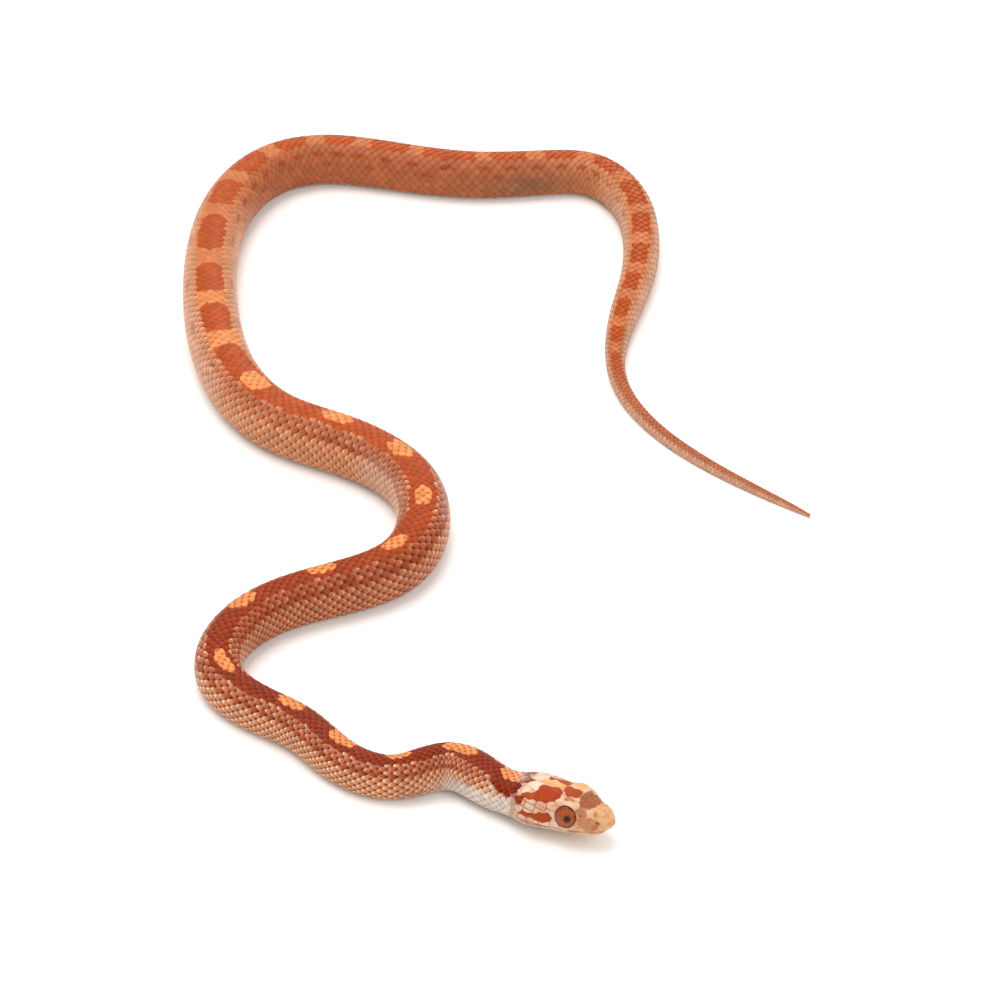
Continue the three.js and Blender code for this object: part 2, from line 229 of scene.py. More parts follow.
def head_arc_table():
    """For each distance from the snout, the section angle at even steps of arc, and the half round."""
    x = np.linspace(0, HEAD_LENGTH, 156)[:, None]
    angle = np.linspace(0, math.pi, 721)[None, :]
    across, up = head_section(x, angle)
    arc = np.cumsum(np.hypot(np.diff(across, axis=1), np.diff(up, axis=1)), axis=1)
    arc = np.concatenate([np.zeros((len(x), 1)), arc], axis=1)
    shares = np.linspace(0, 1, 181)
    angles = np.array([np.interp(shares * row[-1], row, angle[0]) for row in arc])
    angles[0] = angles[1]
    return x[:, 0], shares, angles, arc[:, -1]


HEAD_X, HEAD_SHARES, HEAD_ANGLES, HEAD_ROUND = head_arc_table()


def head_angle(x, f):
    """The section angle on the head at an arc share f, by interpolation in the table."""
    u = np.clip(x / HEAD_X[1], 0, len(HEAD_X) - 1.001)
    v = np.clip(np.abs(f) * (len(HEAD_SHARES) - 1), 0, len(HEAD_SHARES) - 1.001)
    i, j = u.astype(int), v.astype(int)
    a, b = u - i, v - j
    t = HEAD_ANGLES
    near = t[i, j] * (1 - b) + t[i, j + 1] * b
    far = t[i + 1, j] * (1 - b) + t[i + 1, j + 1] * b
    return (near * (1 - a) + far * a) * np.sign(f + 1e-12)


def head_turned(local):
    """Turns head directions into the world's."""
    turn, pitch, roll = HEAD_TURN, HEAD_PITCH, HEAD_ROLL
    y = local[..., 1] * math.cos(roll) - local[..., 2] * math.sin(roll)
    raised = local[..., 1] * math.sin(roll) + local[..., 2] * math.cos(roll)
    x = local[..., 0] * math.cos(pitch) + raised * math.sin(pitch)
    z = -local[..., 0] * math.sin(pitch) + raised * math.cos(pitch)
    east = x * math.cos(turn) - y * math.sin(turn)
    north = x * math.sin(turn) + y * math.cos(turn)
    return np.stack([east, north, z], -1)


def head_to_world(local):
    return SNOUT_TIP + head_turned(local)


def head_surface(x, f):
    # On the body the positive side is the snake's left, and on the head its right.
    across, up = head_section(x, head_angle(x, -f))
    return head_to_world(np.stack([x, across, up], -1))


def outer(s, f):
    """The snake's outer surface, in millimetres. s is negative on the head."""
    s, f = np.broadcast_arrays(np.asarray(s, float), np.asarray(f, float))
    blend = smoothstep(-3.0, 0.2, s)[..., None]
    head = head_surface(np.clip(s + HEAD_LENGTH, 0, HEAD_LENGTH), f)
    return head * (1 - blend) + body_surface(s, f) * blend


def half_round(s):
    """The arc from the spine to the middle of the belly, in millimetres."""
    body = HALF_ROUND * width_at(np.clip(s, 0, BODY_LENGTH))
    head = np.interp(s + HEAD_LENGTH, HEAD_X, HEAD_ROUND)
    return np.where(s < 0, head, body)


def outward(s, f):
    """The surface's normal, from small steps along and around."""
    step = 0.04
    turn = step / half_round(s)
    along = outer(s + step, f) - outer(s - step, f)
    around = outer(s, np.clip(f + turn, -1, 1)) - outer(s, np.clip(f - turn, -1, 1))
    normal = np.cross(around, along)
    normal /= np.linalg.norm(normal, axis=-1, keepdims=True) + 1e-12
    return normal


def inside_distance(x, y, outline):
    """Distance to a closed outline, positive inside it and negative outside."""
    outline = np.asarray(outline, float)
    ends = np.roll(outline, -1, axis=0)
    near = np.full(x.shape, 1e9)
    inside = np.zeros(x.shape, bool)
    for (ax, ay), (bx, by) in zip(outline, ends):
        length = (bx - ax) ** 2 + (by - ay) ** 2
        share = np.clip(((x - ax) * (bx - ax) + (y - ay) * (by - ay)) / length, 0, 1)
        near = np.minimum(near, np.hypot(x - ax - share * (bx - ax), y - ay - share * (by - ay)))
        if ay != by:
            crosses = (ay > y) != (by > y)
            inside ^= crosses & (x < (bx - ax) * (y - ay) / (by - ay) + ax)
    return np.where(inside, near, -near)


# Markings

# Patches of colour on the crown and nape: [mask, strength, outline]. An outline's corners are the distance
# from the snout and the arc from the midline, with the right side positive.
CROWN_PATCHES = [
    ["orange", 1.0, [[6.8, 1.3], [7.1, 0.45], [7.6, 0.1], [8.2, 0.12], [8.8, 0.55], [9.4, 0.3],
        [10.0, 0.6], [10.05, 2.0], [9.9, 3.4], [8.9, 3.3], [7.9, 3.1], [7.2, 2.5], [6.85, 2.0]]],
    ["rust", 1.0, [[4.9, -1.3], [5.8, -1.15], [6.8, -1.1], [7.2, -0.5], [7.0, 0.3], [6.5, 0.95],
        [5.9, 1.0], [5.2, 0.8], [4.8, 0.1]]],
    ["rust", 0.95, [[10.0, 2.0], [10.8, 2.5], [11.9, 2.8], [11.9, 3.4], [10.6, 3.5], [9.8, 3.4]]],
    ["rust", 0.95, [[6.8, -2.1], [7.3, -2.3], [8.2, -2.1], [8.8, -1.7], [9.9, -1.9], [10.0, -1.1],
        [9.4, -0.9], [9.0, -1.3], [8.3, -1.15], [7.6, -0.85], [7.1, -1.1], [6.8, -1.5]]],
    ["rust", 0.5, [[7.1, -3.6], [9.8, -3.6], [9.8, -2.1], [8.6, -1.9], [7.2, -2.4]]],
    ["rust", 0.6, [[4.9, 1.0], [6.2, 1.0], [6.3, 1.9], [5.6, 1.9], [5.0, 1.5]]],
    ["rust", 0.7, [[12.1, -2.9], [12.8, -2.9], [12.9, -1.9], [12.3, -1.2], [11.9, -1.6]]],
    ["olive", 0.8, [[2.4, -2.2], [3.5, -2.5], [4.7, -1.7], [4.85, 0.0], [4.5, 1.0], [4.0, 1.6],
        [3.2, 1.4], [2.6, 0.6], [2.3, -0.8]]],
    ["olive", 0.6, [[3.2, 1.2], [4.2, 1.5], [4.3, 2.5], [3.6, 2.9], [2.8, 2.2]]],
    ["gold", 0.8, [[0.35, -1.2], [0.6, -1.3], [0.75, -0.3], [0.5, 0.4], [0.3, 0.1]]],
    ["olive", 0.35, [[1.5, 0.6], [2.1, 0.8], [2.3, 1.5], [1.8, 1.9], [1.6, 1.2]]],
    ["rust", 0.4, [[12.3, -1.3], [13.2, -1.2], [14.0, -0.9], [13.6, 0.1], [12.9, 0.3], [12.3, -0.4]]],
    ["rust", 0.3, [[13.9, -2.4], [15.6, -2.3], [16.0, -1.4], [14.2, -1.2]]],
    ["gold", 0.9, [[7.2, -1.0], [7.9, -0.9], [8.6, -1.0], [9.4, -0.8], [10.2, -1.0], [10.6, -0.4],
        [10.2, 0.2], [9.2, 0.1], [8.6, 0.2], [7.4, 0.0]]],
    ["gold", 0.8, [[4.9, -2.9], [7.2, -2.9], [7.1, -2.3], [6.6, -1.5], [5.2, -1.4]]],
    ["gold", 0.6, [[6.2, 1.0], [6.6, 0.9], [6.8, 1.9], [6.6, 2.2], [6.3, 1.9]]],
    ["rust", 1.0, [[11.1, 0.0], [11.7, -0.4], [12.4, -0.3], [13.4, -0.15], [13.2, 0.3], [12.4, 0.8],
        [12.1, 0.9], [11.7, 0.6]]],
    ["rust", 1.0, [[13.0, -2.4], [13.9, -2.4], [13.75, -1.4], [13.2, -1.2], [12.9, -1.6]]],
    ["band", 0.95, [[12.6, 1.4], [13.4, 1.1], [14.4, 0.95], [15.3, 0.7], [16.3, 0.1], [16.8, -0.5],
        [16.2, -1.3], [17.0, -2.4], [19.0, -2.6], [19.0, 1.3], [17.2, 1.9], [16.0, 2.5], [15.0, 2.9],
        [14.2, 3.5], [13.5, 3.5], [12.9, 3.0], [12.4, 2.1]]],
    ["spot", 0.9, [[12.7, 1.1], [13.6, 0.2], [14.1, -0.9], [15.2, -1.2], [16.0, -1.1], [16.7, -0.4],
        [16.3, 0.2], [15.3, 0.75], [14.4, 0.85], [13.5, 1.0]]],
]
# Patches on both sides of the head, behind and before the eye.
SIDE_PATCHES = [
    ["band", 0.85, [[11.0, 3.2], [11.8, 3.3], [12.9, 3.2], [12.7, 4.0], [12.0, 4.7], [11.4, 4.3],
        [11.2, 3.7]]],
    ["rust", 0.95, [[7.1, 4.7], [7.6, 4.3], [8.6, 4.6], [9.2, 4.9], [10.0, 5.2], [11.2, 5.1],
        [11.8, 5.6], [11.0, 5.9], [9.8, 5.95], [8.8, 6.2], [7.9, 5.9], [7.2, 5.4]]],
    ["rust", 0.75, [[12.1, 6.0], [13.2, 5.6], [14.2, 5.0], [14.7, 5.1], [13.8, 5.8], [12.6, 6.2]]],
    ["rust", 0.5, [[7.2, 3.95], [8.8, 3.6], [10.6, 3.4], [10.6, 3.55], [8.8, 3.85], [7.3, 4.15]]],
    ["rust", 0.52, [[1.0, 1.9], [2.2, 2.1], [3.6, 2.5], [4.0, 3.1], [3.7, 4.4], [2.4, 4.2],
        [1.2, 3.0]]],
    ["rust", 0.4, [[3.9, 5.0], [4.5, 5.2], [5.4, 6.5], [4.9, 6.6]]],
    ["rust", 0.42, [[12.4, 4.6], [14.6, 4.2], [15.4, 5.2], [13.6, 6.2], [12.4, 6.4]]],
    # A faint strip along the lips: partly their own reddish blotches, partly painted shade along the mouth.
    ["rust", 0.3, [[7.6, 6.6], [9.6, 6.3], [11.6, 6.2], [11.4, 6.8], [9.0, 7.2], [7.6, 7.2]]],
    ["rust", 0.28, [[8.6, 3.7], [12.4, 3.9], [12.2, 4.6], [10.4, 5.0], [8.8, 4.5]]],
    ["rust", 0.35, [[6.4, 5.9], [7.0, 5.9], [7.2, 7.0], [6.7, 7.0]]],
]
PATCH_SOFTNESS = 0.14
# How strongly the patches of each colour are outlined in dark red.
OUTLINED = {"orange": 1.0, "rust": 0.45}


def painted(x, arc):
    """The masks that the patches of the crown, nape and sides leave at points of the head."""
    bent_x = x + 0.07 * np.sin(arc * 6.1 + x * 2.3) + 0.03 * np.sin(arc * 17 + 2)
    bent = arc + 0.07 * np.sin(x * 5.7 + 1.3) + 0.03 * np.sin(x * 19)
    keys = ("orange", "olive", "gold", "rust", "band", "spot", "outline")
    masks = {key: np.zeros(x.shape) for key in keys}
    for patches, place in ((CROWN_PATCHES, bent), (SIDE_PATCHES, np.abs(bent))):
        for key, strength, outline in patches:
            away = inside_distance(bent_x, place, outline)
            masks[key] = np.maximum(masks[key], strength * smoothstep(-PATCH_SOFTNESS, PATCH_SOFTNESS, away))
            rim = strength * np.exp(-((away - 0.06) / 0.13) ** 2) * OUTLINED.get(key, 0)
            masks["outline"] = np.maximum(masks["outline"], rim)
    return masks


# Pale spots along the back of the fore half: [distance, half length, lean across, half width].
PALE_SPOTS = [
    [7.5, 2.3, 0.02, 0.15], [15.8, 2.0, 0.10, 0.13], [25.0, 2.3, 0.08, 0.15], [34.9, 2.1, 0.06, 0.15],
    [47.4, 2.8, 0.01, 0.11], [60.6, 2.1, -0.06, 0.15], [72.6, 2.1, -0.05, 0.15], [84.3, 2.2, -0.02, 0.14],
    [95.9, 2.2, 0.0, 0.13], [106.9, 2.1, 0.02, 0.15], [118.2, 2.5, 0.03, 0.15], [133.4, 2.6, 0.0, 0.17],
]
# Pale gaps between the saddles of the hind half: [distance, half length].
PALE_GAPS = [
    [145.3, 2.1], [155.9, 1.9], [166.7, 2.2], [179.4, 1.8], [189.0, 1.5], [197.8, 1.5], [205.5, 1.6],
    [212.8, 1.5], [221.3, 1.3], [231.7, 1.3], [239.7, 1.6], [247.6, 1.6], [255.1, 1.4], [263.7, 1.2],
    [271.2, 1.5], [278.5, 1.3], [284.8, 1.3], [291.1, 1.2], [296.8, 1.3], [307.5, 2.0],
]
# Dark flecks low on the sides of the neck: [distance, place across, half length].
NECK_FLECKS = [
    [4.2, 0.66, 0.9], [5.6, 0.6, 1.3], [5.9, 0.7, 0.9], [8.6, 0.66, 0.5], [10.8, 0.72, 0.5],
    [12.2, 0.76, 0.5], [13.7, 0.72, 0.45], [15.0, 0.74, 0.4], [4.0, 0.5, 0.6], [1.8, 0.74, 0.4],
]
BAND_HALF = 0.2
LINE_PLACE = 0.39


def speck(s, t, places, half_length, across, half_width):
    """Soft-edged ovals at several places along, on both sides."""
    mark = np.zeros_like(s)
    for place in places:
        oval = ((s - place) / half_length) ** 2 + ((np.abs(t) - across) / half_width) ** 2
        mark = np.maximum(mark, 1 - smoothstep(0.6, 1.3, oval))
    return mark


def markings(s, f):
    """How much of each marking there is at a point, from 0 to 1. t is 1 at the edge of the belly."""
    s, f = np.broadcast_arrays(np.asarray(s, float), np.asarray(f, float))
    t = f / KEEL
    lean = 0.07 * -heading_at(np.clip(s, 0, BODY_LENGTH))[..., 0] * smoothstep(-2, 8, s)
    q = t - lean
    side = np.abs(q)
    fore = 1 - smoothstep(128, 150, s)
    fade = 1 - smoothstep(294, 312, s)
    wave = 0.012 * np.sin(s * 0.9) + 0.01 * np.sin(s * 2.3 + 1)
    band = 1 - smoothstep(BAND_HALF - 0.025, BAND_HALF + 0.025, side + wave)
    spot = np.zeros_like(s)
    for place, half, across, half_width in PALE_SPOTS:
        oval = np.abs((s - place) / half) ** 2.4 + np.abs((q - across) / half_width) ** 2.4
        spot = np.maximum(spot, 1 - smoothstep(0.75, 1.2, oval))
    gap = np.zeros_like(s)
    for place, half in PALE_GAPS:
        widen = half * (0.8 + 1.5 * side)
        gap = np.maximum(gap, 1 - smoothstep(0.8, 1.15, np.abs((s - place) / widen)))
    band = band * (1 - gap * (1 - 0.4 * smoothstep(296, 303, s))) * fade
    pale = np.maximum(spot, gap * (1 - smoothstep(0.14, 0.26, side)) * fade)
    # The saddles of the hind half are lighter in the middle than round their rim.
    hearts = [0.5 * (a[0] + b[0]) for a, b in zip(PALE_GAPS, PALE_GAPS[1:])]
    heart = np.zeros_like(s)
    for place in hearts:
        oval = ((s - place) / 2.1) ** 2 + (side / 0.13) ** 2
        heart = np.maximum(heart, 1 - smoothstep(0.3, 1.1, oval))
    heart *= smoothstep(165, 185, s) * (1 - smoothstep(255, 275, s))
    # A dark line runs along each side of the fore half, and a row of small dark specks behind it.
    line = (1 - smoothstep(0.026, 0.06, np.abs(side - LINE_PLACE - wave))) * smoothstep(1, 7, s)
    line *= 1 - smoothstep(110, 146, s)
    strip = smoothstep(BAND_HALF, 0.24, side) * (1 - smoothstep(0.3, 0.36, side)) * fore
    places = hearts[0:3] + [g[0] for g in PALE_GAPS[3:14]] + hearts[3:13]
    line = np.maximum(line, 0.75 * speck(s, q, places, 1.15, LINE_PLACE - 0.03, 0.045))
    low = [g[0] + 2.0 for g in PALE_GAPS[:12]]
    line = np.maximum(line, 0.5 * speck(s, q, low, 0.9, 0.52, 0.04))
    for place, across, size in NECK_FLECKS:
        oval = ((s - place) / size) ** 2 + ((np.abs(t) - across) / 0.035) ** 2
        line = np.maximum(line, 1 - smoothstep(0.5, 1.4, oval))
    belly = smoothstep(0.86, 0.99, np.abs(t) + 0.12 * (1 - smoothstep(4, 16, s)))
    faded = 0.2 * smoothstep(90, 98, s) * (1 - smoothstep(108, 114, s)) + 0.24 * smoothstep(250, 262, s)
    faded = faded + 0.14 * smoothstep(134, 142, s) * (1 - smoothstep(172, 190, s))
    belly = np.maximum(belly, faded * smoothstep(0.2, 0.4, np.abs(t)))
    throat = smoothstep(0.42, 0.52 + 0.02 * np.clip(s, 0, 12), np.abs(t)) * (1 - smoothstep(3, 18, s))
    belly = np.maximum(belly, 0.92 * throat * smoothstep(-9, -4, s))
    # The sides are browner over some stretches. From about 172 to 262 this darker flank colour is also
    # painted shade: the colour of a flank in shade.
    browner_and_painted_shade = 0.65 * smoothstep(44, 60, s) * (1 - smoothstep(84, 98, s))
    browner_and_painted_shade = browner_and_painted_shade + 0.3 * smoothstep(8, 11, s) * (1 - smoothstep(14, 18, s))
    browner_and_painted_shade = browner_and_painted_shade + 0.72 * smoothstep(172, 196, s) * (1 - smoothstep(232, 262, s))
    browner_and_painted_shade = np.maximum(browner_and_painted_shade, 0.7 * smoothstep(286, 300, s) * (1 - smoothstep(0.2, 0.5, np.abs(t))))
    smudge = np.exp(-((s - 238.5) / 7.5) ** 2 - ((t - 0.62) / 0.24) ** 2) * (t > 0)
    net = 1 - 0.3 * smoothstep(90, 110, s) - 0.35 * smoothstep(150, 190, s)
    nape = 1 - smoothstep(0.8, 2.0, s)
    there = nape > 0
    if there.any():
        paint = painted(s[there] + HEAD_LENGTH, -(f * half_round(s))[there])
        share = nape[there]
        band[there] = band[there] * (1 - share) + paint["band"] * share
        pale[there] = pale[there] * (1 - share) + paint["spot"] * share
        line[there] = line[there] * (1 - share) + 0.9 * paint["rust"] * share
        pallor = 0.3 + 0.5 * smoothstep(3.0, 4.2, np.abs((f * half_round(s))[there]))
        belly[there] = np.maximum(belly[there], pallor * share)
        strip[there] *= 1 - share
    return {
        "band": np.clip(band - 0.35 * heart * band, 0, 1), "spot": pale,
        "line": np.clip(0.8 * line + 0.6 * strip, 0, 1), "belly": belly,
        "browner_and_painted_shade": np.clip(browner_and_painted_shade, 0, 1), "grey": 0.6 * smudge, "net": net,
        "ripe": smoothstep(30, 122, s), "hind": smoothstep(140, 172, s),
    }


# Meshes

def make_object(name, vertices, faces):
    """A new mesh object from points in millimetres, smooth all over and placed at the origin."""
    mesh = bpy.data.meshes.new(name)
    mesh.from_pydata((np.asarray(vertices) * MM).tolist(), [], faces)
    mesh.polygons.foreach_set("use_smooth", [True] * len(mesh.polygons))
    mesh.update()
    made = bpy.data.objects.new(name, mesh)
    bpy.context.scene.collection.objects.link(made)
    return made


def set_marks(made, name, *masks):
    """Stores up to four masks on the points of a mesh, as one attribute that the material reads."""
    values = np.ones((len(made.data.vertices), 4), np.float32)
    for channel, mask in enumerate(masks):
        values[:, channel] = mask
    layer = made.data.color_attributes.new(name, "FLOAT_COLOR", "POINT")
    layer.data.foreach_set("color", values.ravel())


def set_bake_map(made, uv):
    """Gives a mesh its OFBake map from one pair of values for each point."""
    loops = np.zeros(len(made.data.loops), dtype=np.int64)
    made.data.loops.foreach_get("vertex_index", loops)
    layer = made.data.uv_layers.new(name="OFBake")
    layer.data.foreach_set("uv", np.asarray(uv, np.float32)[loops].ravel())


def dress(made, material, slot, *nodes):
    made.data.materials.append(material)
    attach(made, "root")
    if nodes:
        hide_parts(*nodes)


# Materials

class Socket:
    """A shader value that adds Math nodes when it is used in an expression."""

    def __init__(self, shader, link):
        self.shader = shader
        self.link = link

    def _math(self, operation, first, second):
        made = self.shader.node("ShaderNodeMath", {"operation": operation}, {0: first, 1: second})
        return Socket(self.shader, made.outputs[0])

    def __add__(self, other):
        return self._math("ADD", self, other)

    def __radd__(self, other):
        return self._math("ADD", other, self)

    def __sub__(self, other):
        return self._math("SUBTRACT", self, other)

    def __rsub__(self, other):
        return self._math("SUBTRACT", other, self)

    def __mul__(self, other):
        return self._math("MULTIPLY", self, other)

    def __rmul__(self, other):
        return self._math("MULTIPLY", other, self)


class Shader:
    """A new material with a Principled shader, and a short way to add nodes to it."""

    def __init__(self, name):
        self.material = bpy.data.materials.new(name)
        self.material.use_nodes = True
        self.tree = self.material.node_tree
        self.surface = self.tree.nodes["Principled BSDF"]

    def put(self, socket, value):
        if isinstance(value, Socket):
            self.tree.links.new(value.link, socket)
        elif hasattr(value, "is_output"):
            self.tree.links.new(value, socket)
        elif hasattr(socket.default_value, "__len__") and len(socket.default_value) == 4:
            socket.default_value = (*value[:3], 1)
        else:
            socket.default_value = value

    def node(self, kind, settings, inputs):
        made = self.tree.nodes.new(kind)
        for key, value in settings.items():
            setattr(made, key, value)
        for key, value in inputs.items():
            self.put(made.inputs[key], value)
        return made

    def mix(self, factor, first, second, blend="MIX"):
        made = self.node("ShaderNodeMix", {"data_type": "RGBA", "blend_type": blend, "clamp_factor": True},
                         {0: factor, 6: first, 7: second})
        return made.outputs[2]

    def masks(self, name):
        read = self.node("ShaderNodeAttribute", {"attribute_name": name}, {})
        parts = self.node("ShaderNodeSeparateColor", {}, {0: read.outputs["Color"]})
        return [Socket(self, parts.outputs[k]) for k in range(3)] + [Socket(self, read.outputs["Alpha"])]

    def noise(self, place, scale, detail=2.0, rough=0.5):
        made = self.node("ShaderNodeTexNoise", {}, {
            "Vector": place, "Scale": scale, "Detail": detail, "Roughness": rough})
        return Socket(self, made.outputs["Fac"])

    def ramp(self, value, low, high):
        made = self.node("ShaderNodeMapRange", {"interpolation_type": "SMOOTHSTEP"},
                         {"Value": value, "From Min": low, "From Max": high})
        return Socket(self, made.outputs["Result"])

    def set(self, **values):
        for key, value in values.items():
            self.put(self.surface.inputs[key.replace("_", " ")], value)


def skin_material(name, colours, gloss, with_head):
    """Scaly skin: the colours of flank, band, spots and belly, mixed by the masks on the mesh."""
    sh = Shader(name)
    place = sh.node("ShaderNodeTexCoord", {}, {}).outputs["Object"]
    band, spot, line, belly = sh.masks("marks_body")
    edge, browner_and_painted_shade, grey, vary = sh.masks("marks_scale")
    ripe, hind = sh.masks("marks_tone")[:2]
    blotch = sh.noise(place, 420.0, 3.0)
    grain = sh.noise(place, 2600.0, 3.0, 0.6)
    fine = sh.noise(place, 9000.0, 2.0, 0.6)
    ragged = grain * 0.5 - 0.25
    rim = sh.ramp(edge + ragged * 0.4, 0.42, 0.9)
    tip = 1 - sh.ramp(edge + ragged * 0.2, 0.05, 0.32)

    # On the browner stretches the flank takes darker colours, which are partly painted shade.
    flank = sh.mix(browner_and_painted_shade, colours.flank, colours.flank_browner_and_painted_shade)
    flank = sh.mix(tip, flank, sh.mix(browner_and_painted_shade, colours.flank_tip, colours.flank_browner_and_painted_shade_tip))
    flank = sh.mix(rim, flank, sh.mix(browner_and_painted_shade, colours.flank_edge, colours.flank_browner_and_painted_shade_edge))
    flank = sh.mix(line, flank, sh.mix(rim, colours.line, colours.band_edge))
    red = sh.mix(tip * 0.6, sh.mix(rim, colours.band, colours.band_edge), colours.saddle)
    red = sh.mix(ripe, red, sh.mix(rim, colours.saddle, colours.saddle_edge))
    pale = sh.mix(hind, sh.mix(rim, colours.spot, colours.spot_edge), colours.spot_hind)
    under = sh.mix(rim * 0.75, colours.belly, colours.belly_shade)
    colour = sh.mix(belly, flank, under)
    colour = sh.mix(sh.ramp(band + ragged * 0.3, 0.2, 0.8), colour, red)
    colour = sh.mix(sh.ramp(spot + ragged * 0.3, 0.2, 0.8), colour, pale)
    colour = sh.mix(grey, colour, colours.smudge)
    if with_head:
        ground, orange, brick, olive = sh.masks("marks_head")
        gold, snout, rust, seam = sh.masks("marks_face")
        face = sh.mix(sh.ramp(blotch, 0.42, 0.72), colours.cream, colours.blush)
        face = sh.mix(snout, face, colours.snout)
        mottle = sh.ramp(sh.noise(place, 1500.0, 2.0, 0.55), 0.52, 0.74)
        face = sh.mix(mottle * (0.2 + 0.34 * snout), face, colours.rust)
        face = sh.mix(sh.ramp(gold + ragged * 0.6, 0.05, 1.0), face, colours.gold)
        face = sh.mix(sh.ramp(rust + ragged * 0.9, 0.1, 0.9), face, colours.rust)
        face = sh.mix(sh.ramp(olive + ragged * 0.9, 0.0, 1.0), face, colours.olive)
        shield = sh.mix(sh.ramp(grain, 0.35, 0.7), colours.shield, colours.shield_deep)
        face = sh.mix(sh.ramp(orange + ragged * 0.5, 0.1, 0.95), face, shield)
        face = sh.mix(sh.ramp(brick + ragged * 0.5, 0.1, 0.9), face, colours.band)
        colour = sh.mix(ground, colour, face)
        # The seam mask also darkens the mouth's crease and the nostrils, as painted shade.
        colour = sh.mix(seam, colour, colours.seam)
    light = 0.69 + 0.18 * vary + (blotch - 0.5) * 0.22 + (fine - 0.5) * 0.16
    grey_light = sh.node("ShaderNodeCombineColor", {}, {0: light, 1: light, 2: light})
    colour = sh.mix(1.0, colour, grey_light.outputs[0], "MULTIPLY")
    bump = sh.node("ShaderNodeBump", {}, {
        "Strength": 0.35, "Distance": 0.03 * MM, "Height": fine * 0.6 + grain * 0.8})
    sh.set(Base_Color=colour, Roughness=gloss + (grain - 0.5) * 0.16, Normal=bump.outputs[0])
    surface = sh.surface.inputs
    surface["Specular IOR Level"].default_value = 0.1
    surface["Subsurface Weight"].default_value = 0.06
    surface["Subsurface Radius"].default_value = (1.0, 0.4, 0.25)
    surface["Subsurface Scale"].default_value = 0.4 * MM
    return sh.material


def eye_material(name, colours):
    """A clear spectacle over a red-brown iris with a round, dark pupil."""
    sh = Shader(name)
    place = sh.node("ShaderNodeTexCoord", {}, {}).outputs["Object"]
    across, above = sh.masks("marks_eye")[:2]
    across, above = across * 2 - 1, above * 2 - 1
    ring = across * across + above * above
    streak = sh.noise(place, 5200.0, 3.0, 0.65)
    iris = sh.mix(sh.ramp(streak, 0.35, 0.7), colours.iris, colours.iris_light)
    iris = sh.mix(sh.ramp(ring + (streak - 0.5) * 0.2, 0.5, 0.95), iris, colours.iris_rim)
    toward, below = across - PUPIL[0], above - PUPIL[1]
    hole = toward * toward + below * below
    pupil = sh.ramp(hole + (streak - 0.5) * 0.04, PUPIL[2] ** 2 * 0.3, PUPIL[2] ** 2 * 2.2)
    colour = sh.mix(pupil, colours.pupil, iris)
    sh.set(Base_Color=colour, Roughness=0.12 + streak * 0.05)
    sh.surface.inputs["Specular IOR Level"].default_value = 0.15
    sh.surface.inputs["Coat Weight"].default_value = 0.45
    sh.surface.inputs["Coat Roughness"].default_value = 0.03
    return sh.material


# Settings

def colour_setting(name, description, *screen):
    return bpy.props.FloatVectorProperty(
        name=name, description=description, subtype="COLOR", size=3, min=0, max=1, default=linear(*screen))


def length_setting(name, description, millimetres):
    return bpy.props.FloatProperty(
        name=name, description=description, subtype="DISTANCE", unit="LENGTH", default=millimetres * MM)


class CornSnakeColours(bpy.types.PropertyGroup):
    flank: colour_setting("Flank", "Scales on the sides of the fore half", 214, 136, 90)
    flank_tip: colour_setting("Flank tips", "Pale tips of the flank scales", 255, 228, 196)
    flank_edge: colour_setting("Flank roots", "Dark roots of the flank scales", 146, 38, 2)
    # The browner flank colours are partly painted shade, laid on the stretches of flank that lie in shade.
    flank_browner_and_painted_shade: colour_setting("Warm flank", "Scales on the darker stretches of the sides", 172, 86, 50)
    flank_browner_and_painted_shade_tip: colour_setting("Warm flank tips", "Tips of the darker flank scales", 202, 132, 96)
    flank_browner_and_painted_shade_edge: colour_setting("Warm flank roots", "Roots of the darker flank scales", 138, 46, 14)
    band: colour_setting("Band", "The brick red band along the back", 140, 40, 0)
    band_edge: colour_setting("Band roots", "Roots of the band's scales", 108, 22, 0)
    saddle: colour_setting("Saddle", "The orange-red saddles of the hind half", 188, 80, 26)
    saddle_edge: colour_setting("Saddle roots", "Roots of the saddles' scales", 168, 58, 10)
    line: colour_setting("Side line", "The dark line and specks on each side", 158, 54, 14)
    spot: colour_setting("Pale spots", "The pale orange spots along the back", 240, 152, 88)
    spot_edge: colour_setting("Spot roots", "Roots of the scales in the pale spots", 200, 84, 22)
    spot_hind: colour_setting("Hind gaps", "The duller orange between the hind saddles", 208, 120, 72)
    belly: colour_setting("Belly", "The belly scutes and the lowest scales", 236, 222, 208)
    belly_shade: colour_setting("Belly shade", "Edges of the belly scutes", 196, 150, 120)
    smudge: colour_setting("Grey flush", "The grey-brown flush on the left of the hind body", 128, 98, 72)
    cream: colour_setting("Cream", "The pale ground of the head", 240, 212, 184)
    blush: colour_setting("Blush", "Pink in the pale ground of the head", 216, 158, 126)
    snout: colour_setting("Snout", "The yellowish peach of the snout", 230, 176, 122)
    gold: colour_setting("Gold", "Yellowish patches on the crown", 240, 176, 112)
    rust: colour_setting("Rust", "The stripe behind the eye and the flecks on the head", 178, 68, 16)
    shield: colour_setting("Crown patches", "The orange patches on the crown shields", 184, 62, 0)
    shield_deep: colour_setting("Deep crown patches", "Darker flecks in the crown patches", 162, 44, 0)
    olive: colour_setting("Snout grey", "Grey-brown on the front of the crown", 154, 80, 40)
    # The same colour lies in the mouth's crease and the nostrils as painted shade.
    seam: colour_setting("Seams", "The seams between the shields of the head", 168, 80, 44)
    iris: colour_setting("Iris", "The iris", 138, 56, 4)
    iris_light: colour_setting("Light iris", "Streaks in the iris", 166, 84, 36)
    iris_rim: colour_setting("Iris rim", "The dark rim of the eye", 112, 34, 4)
    pupil: colour_setting("Pupil", "The round pupil", 40, 12, 4)


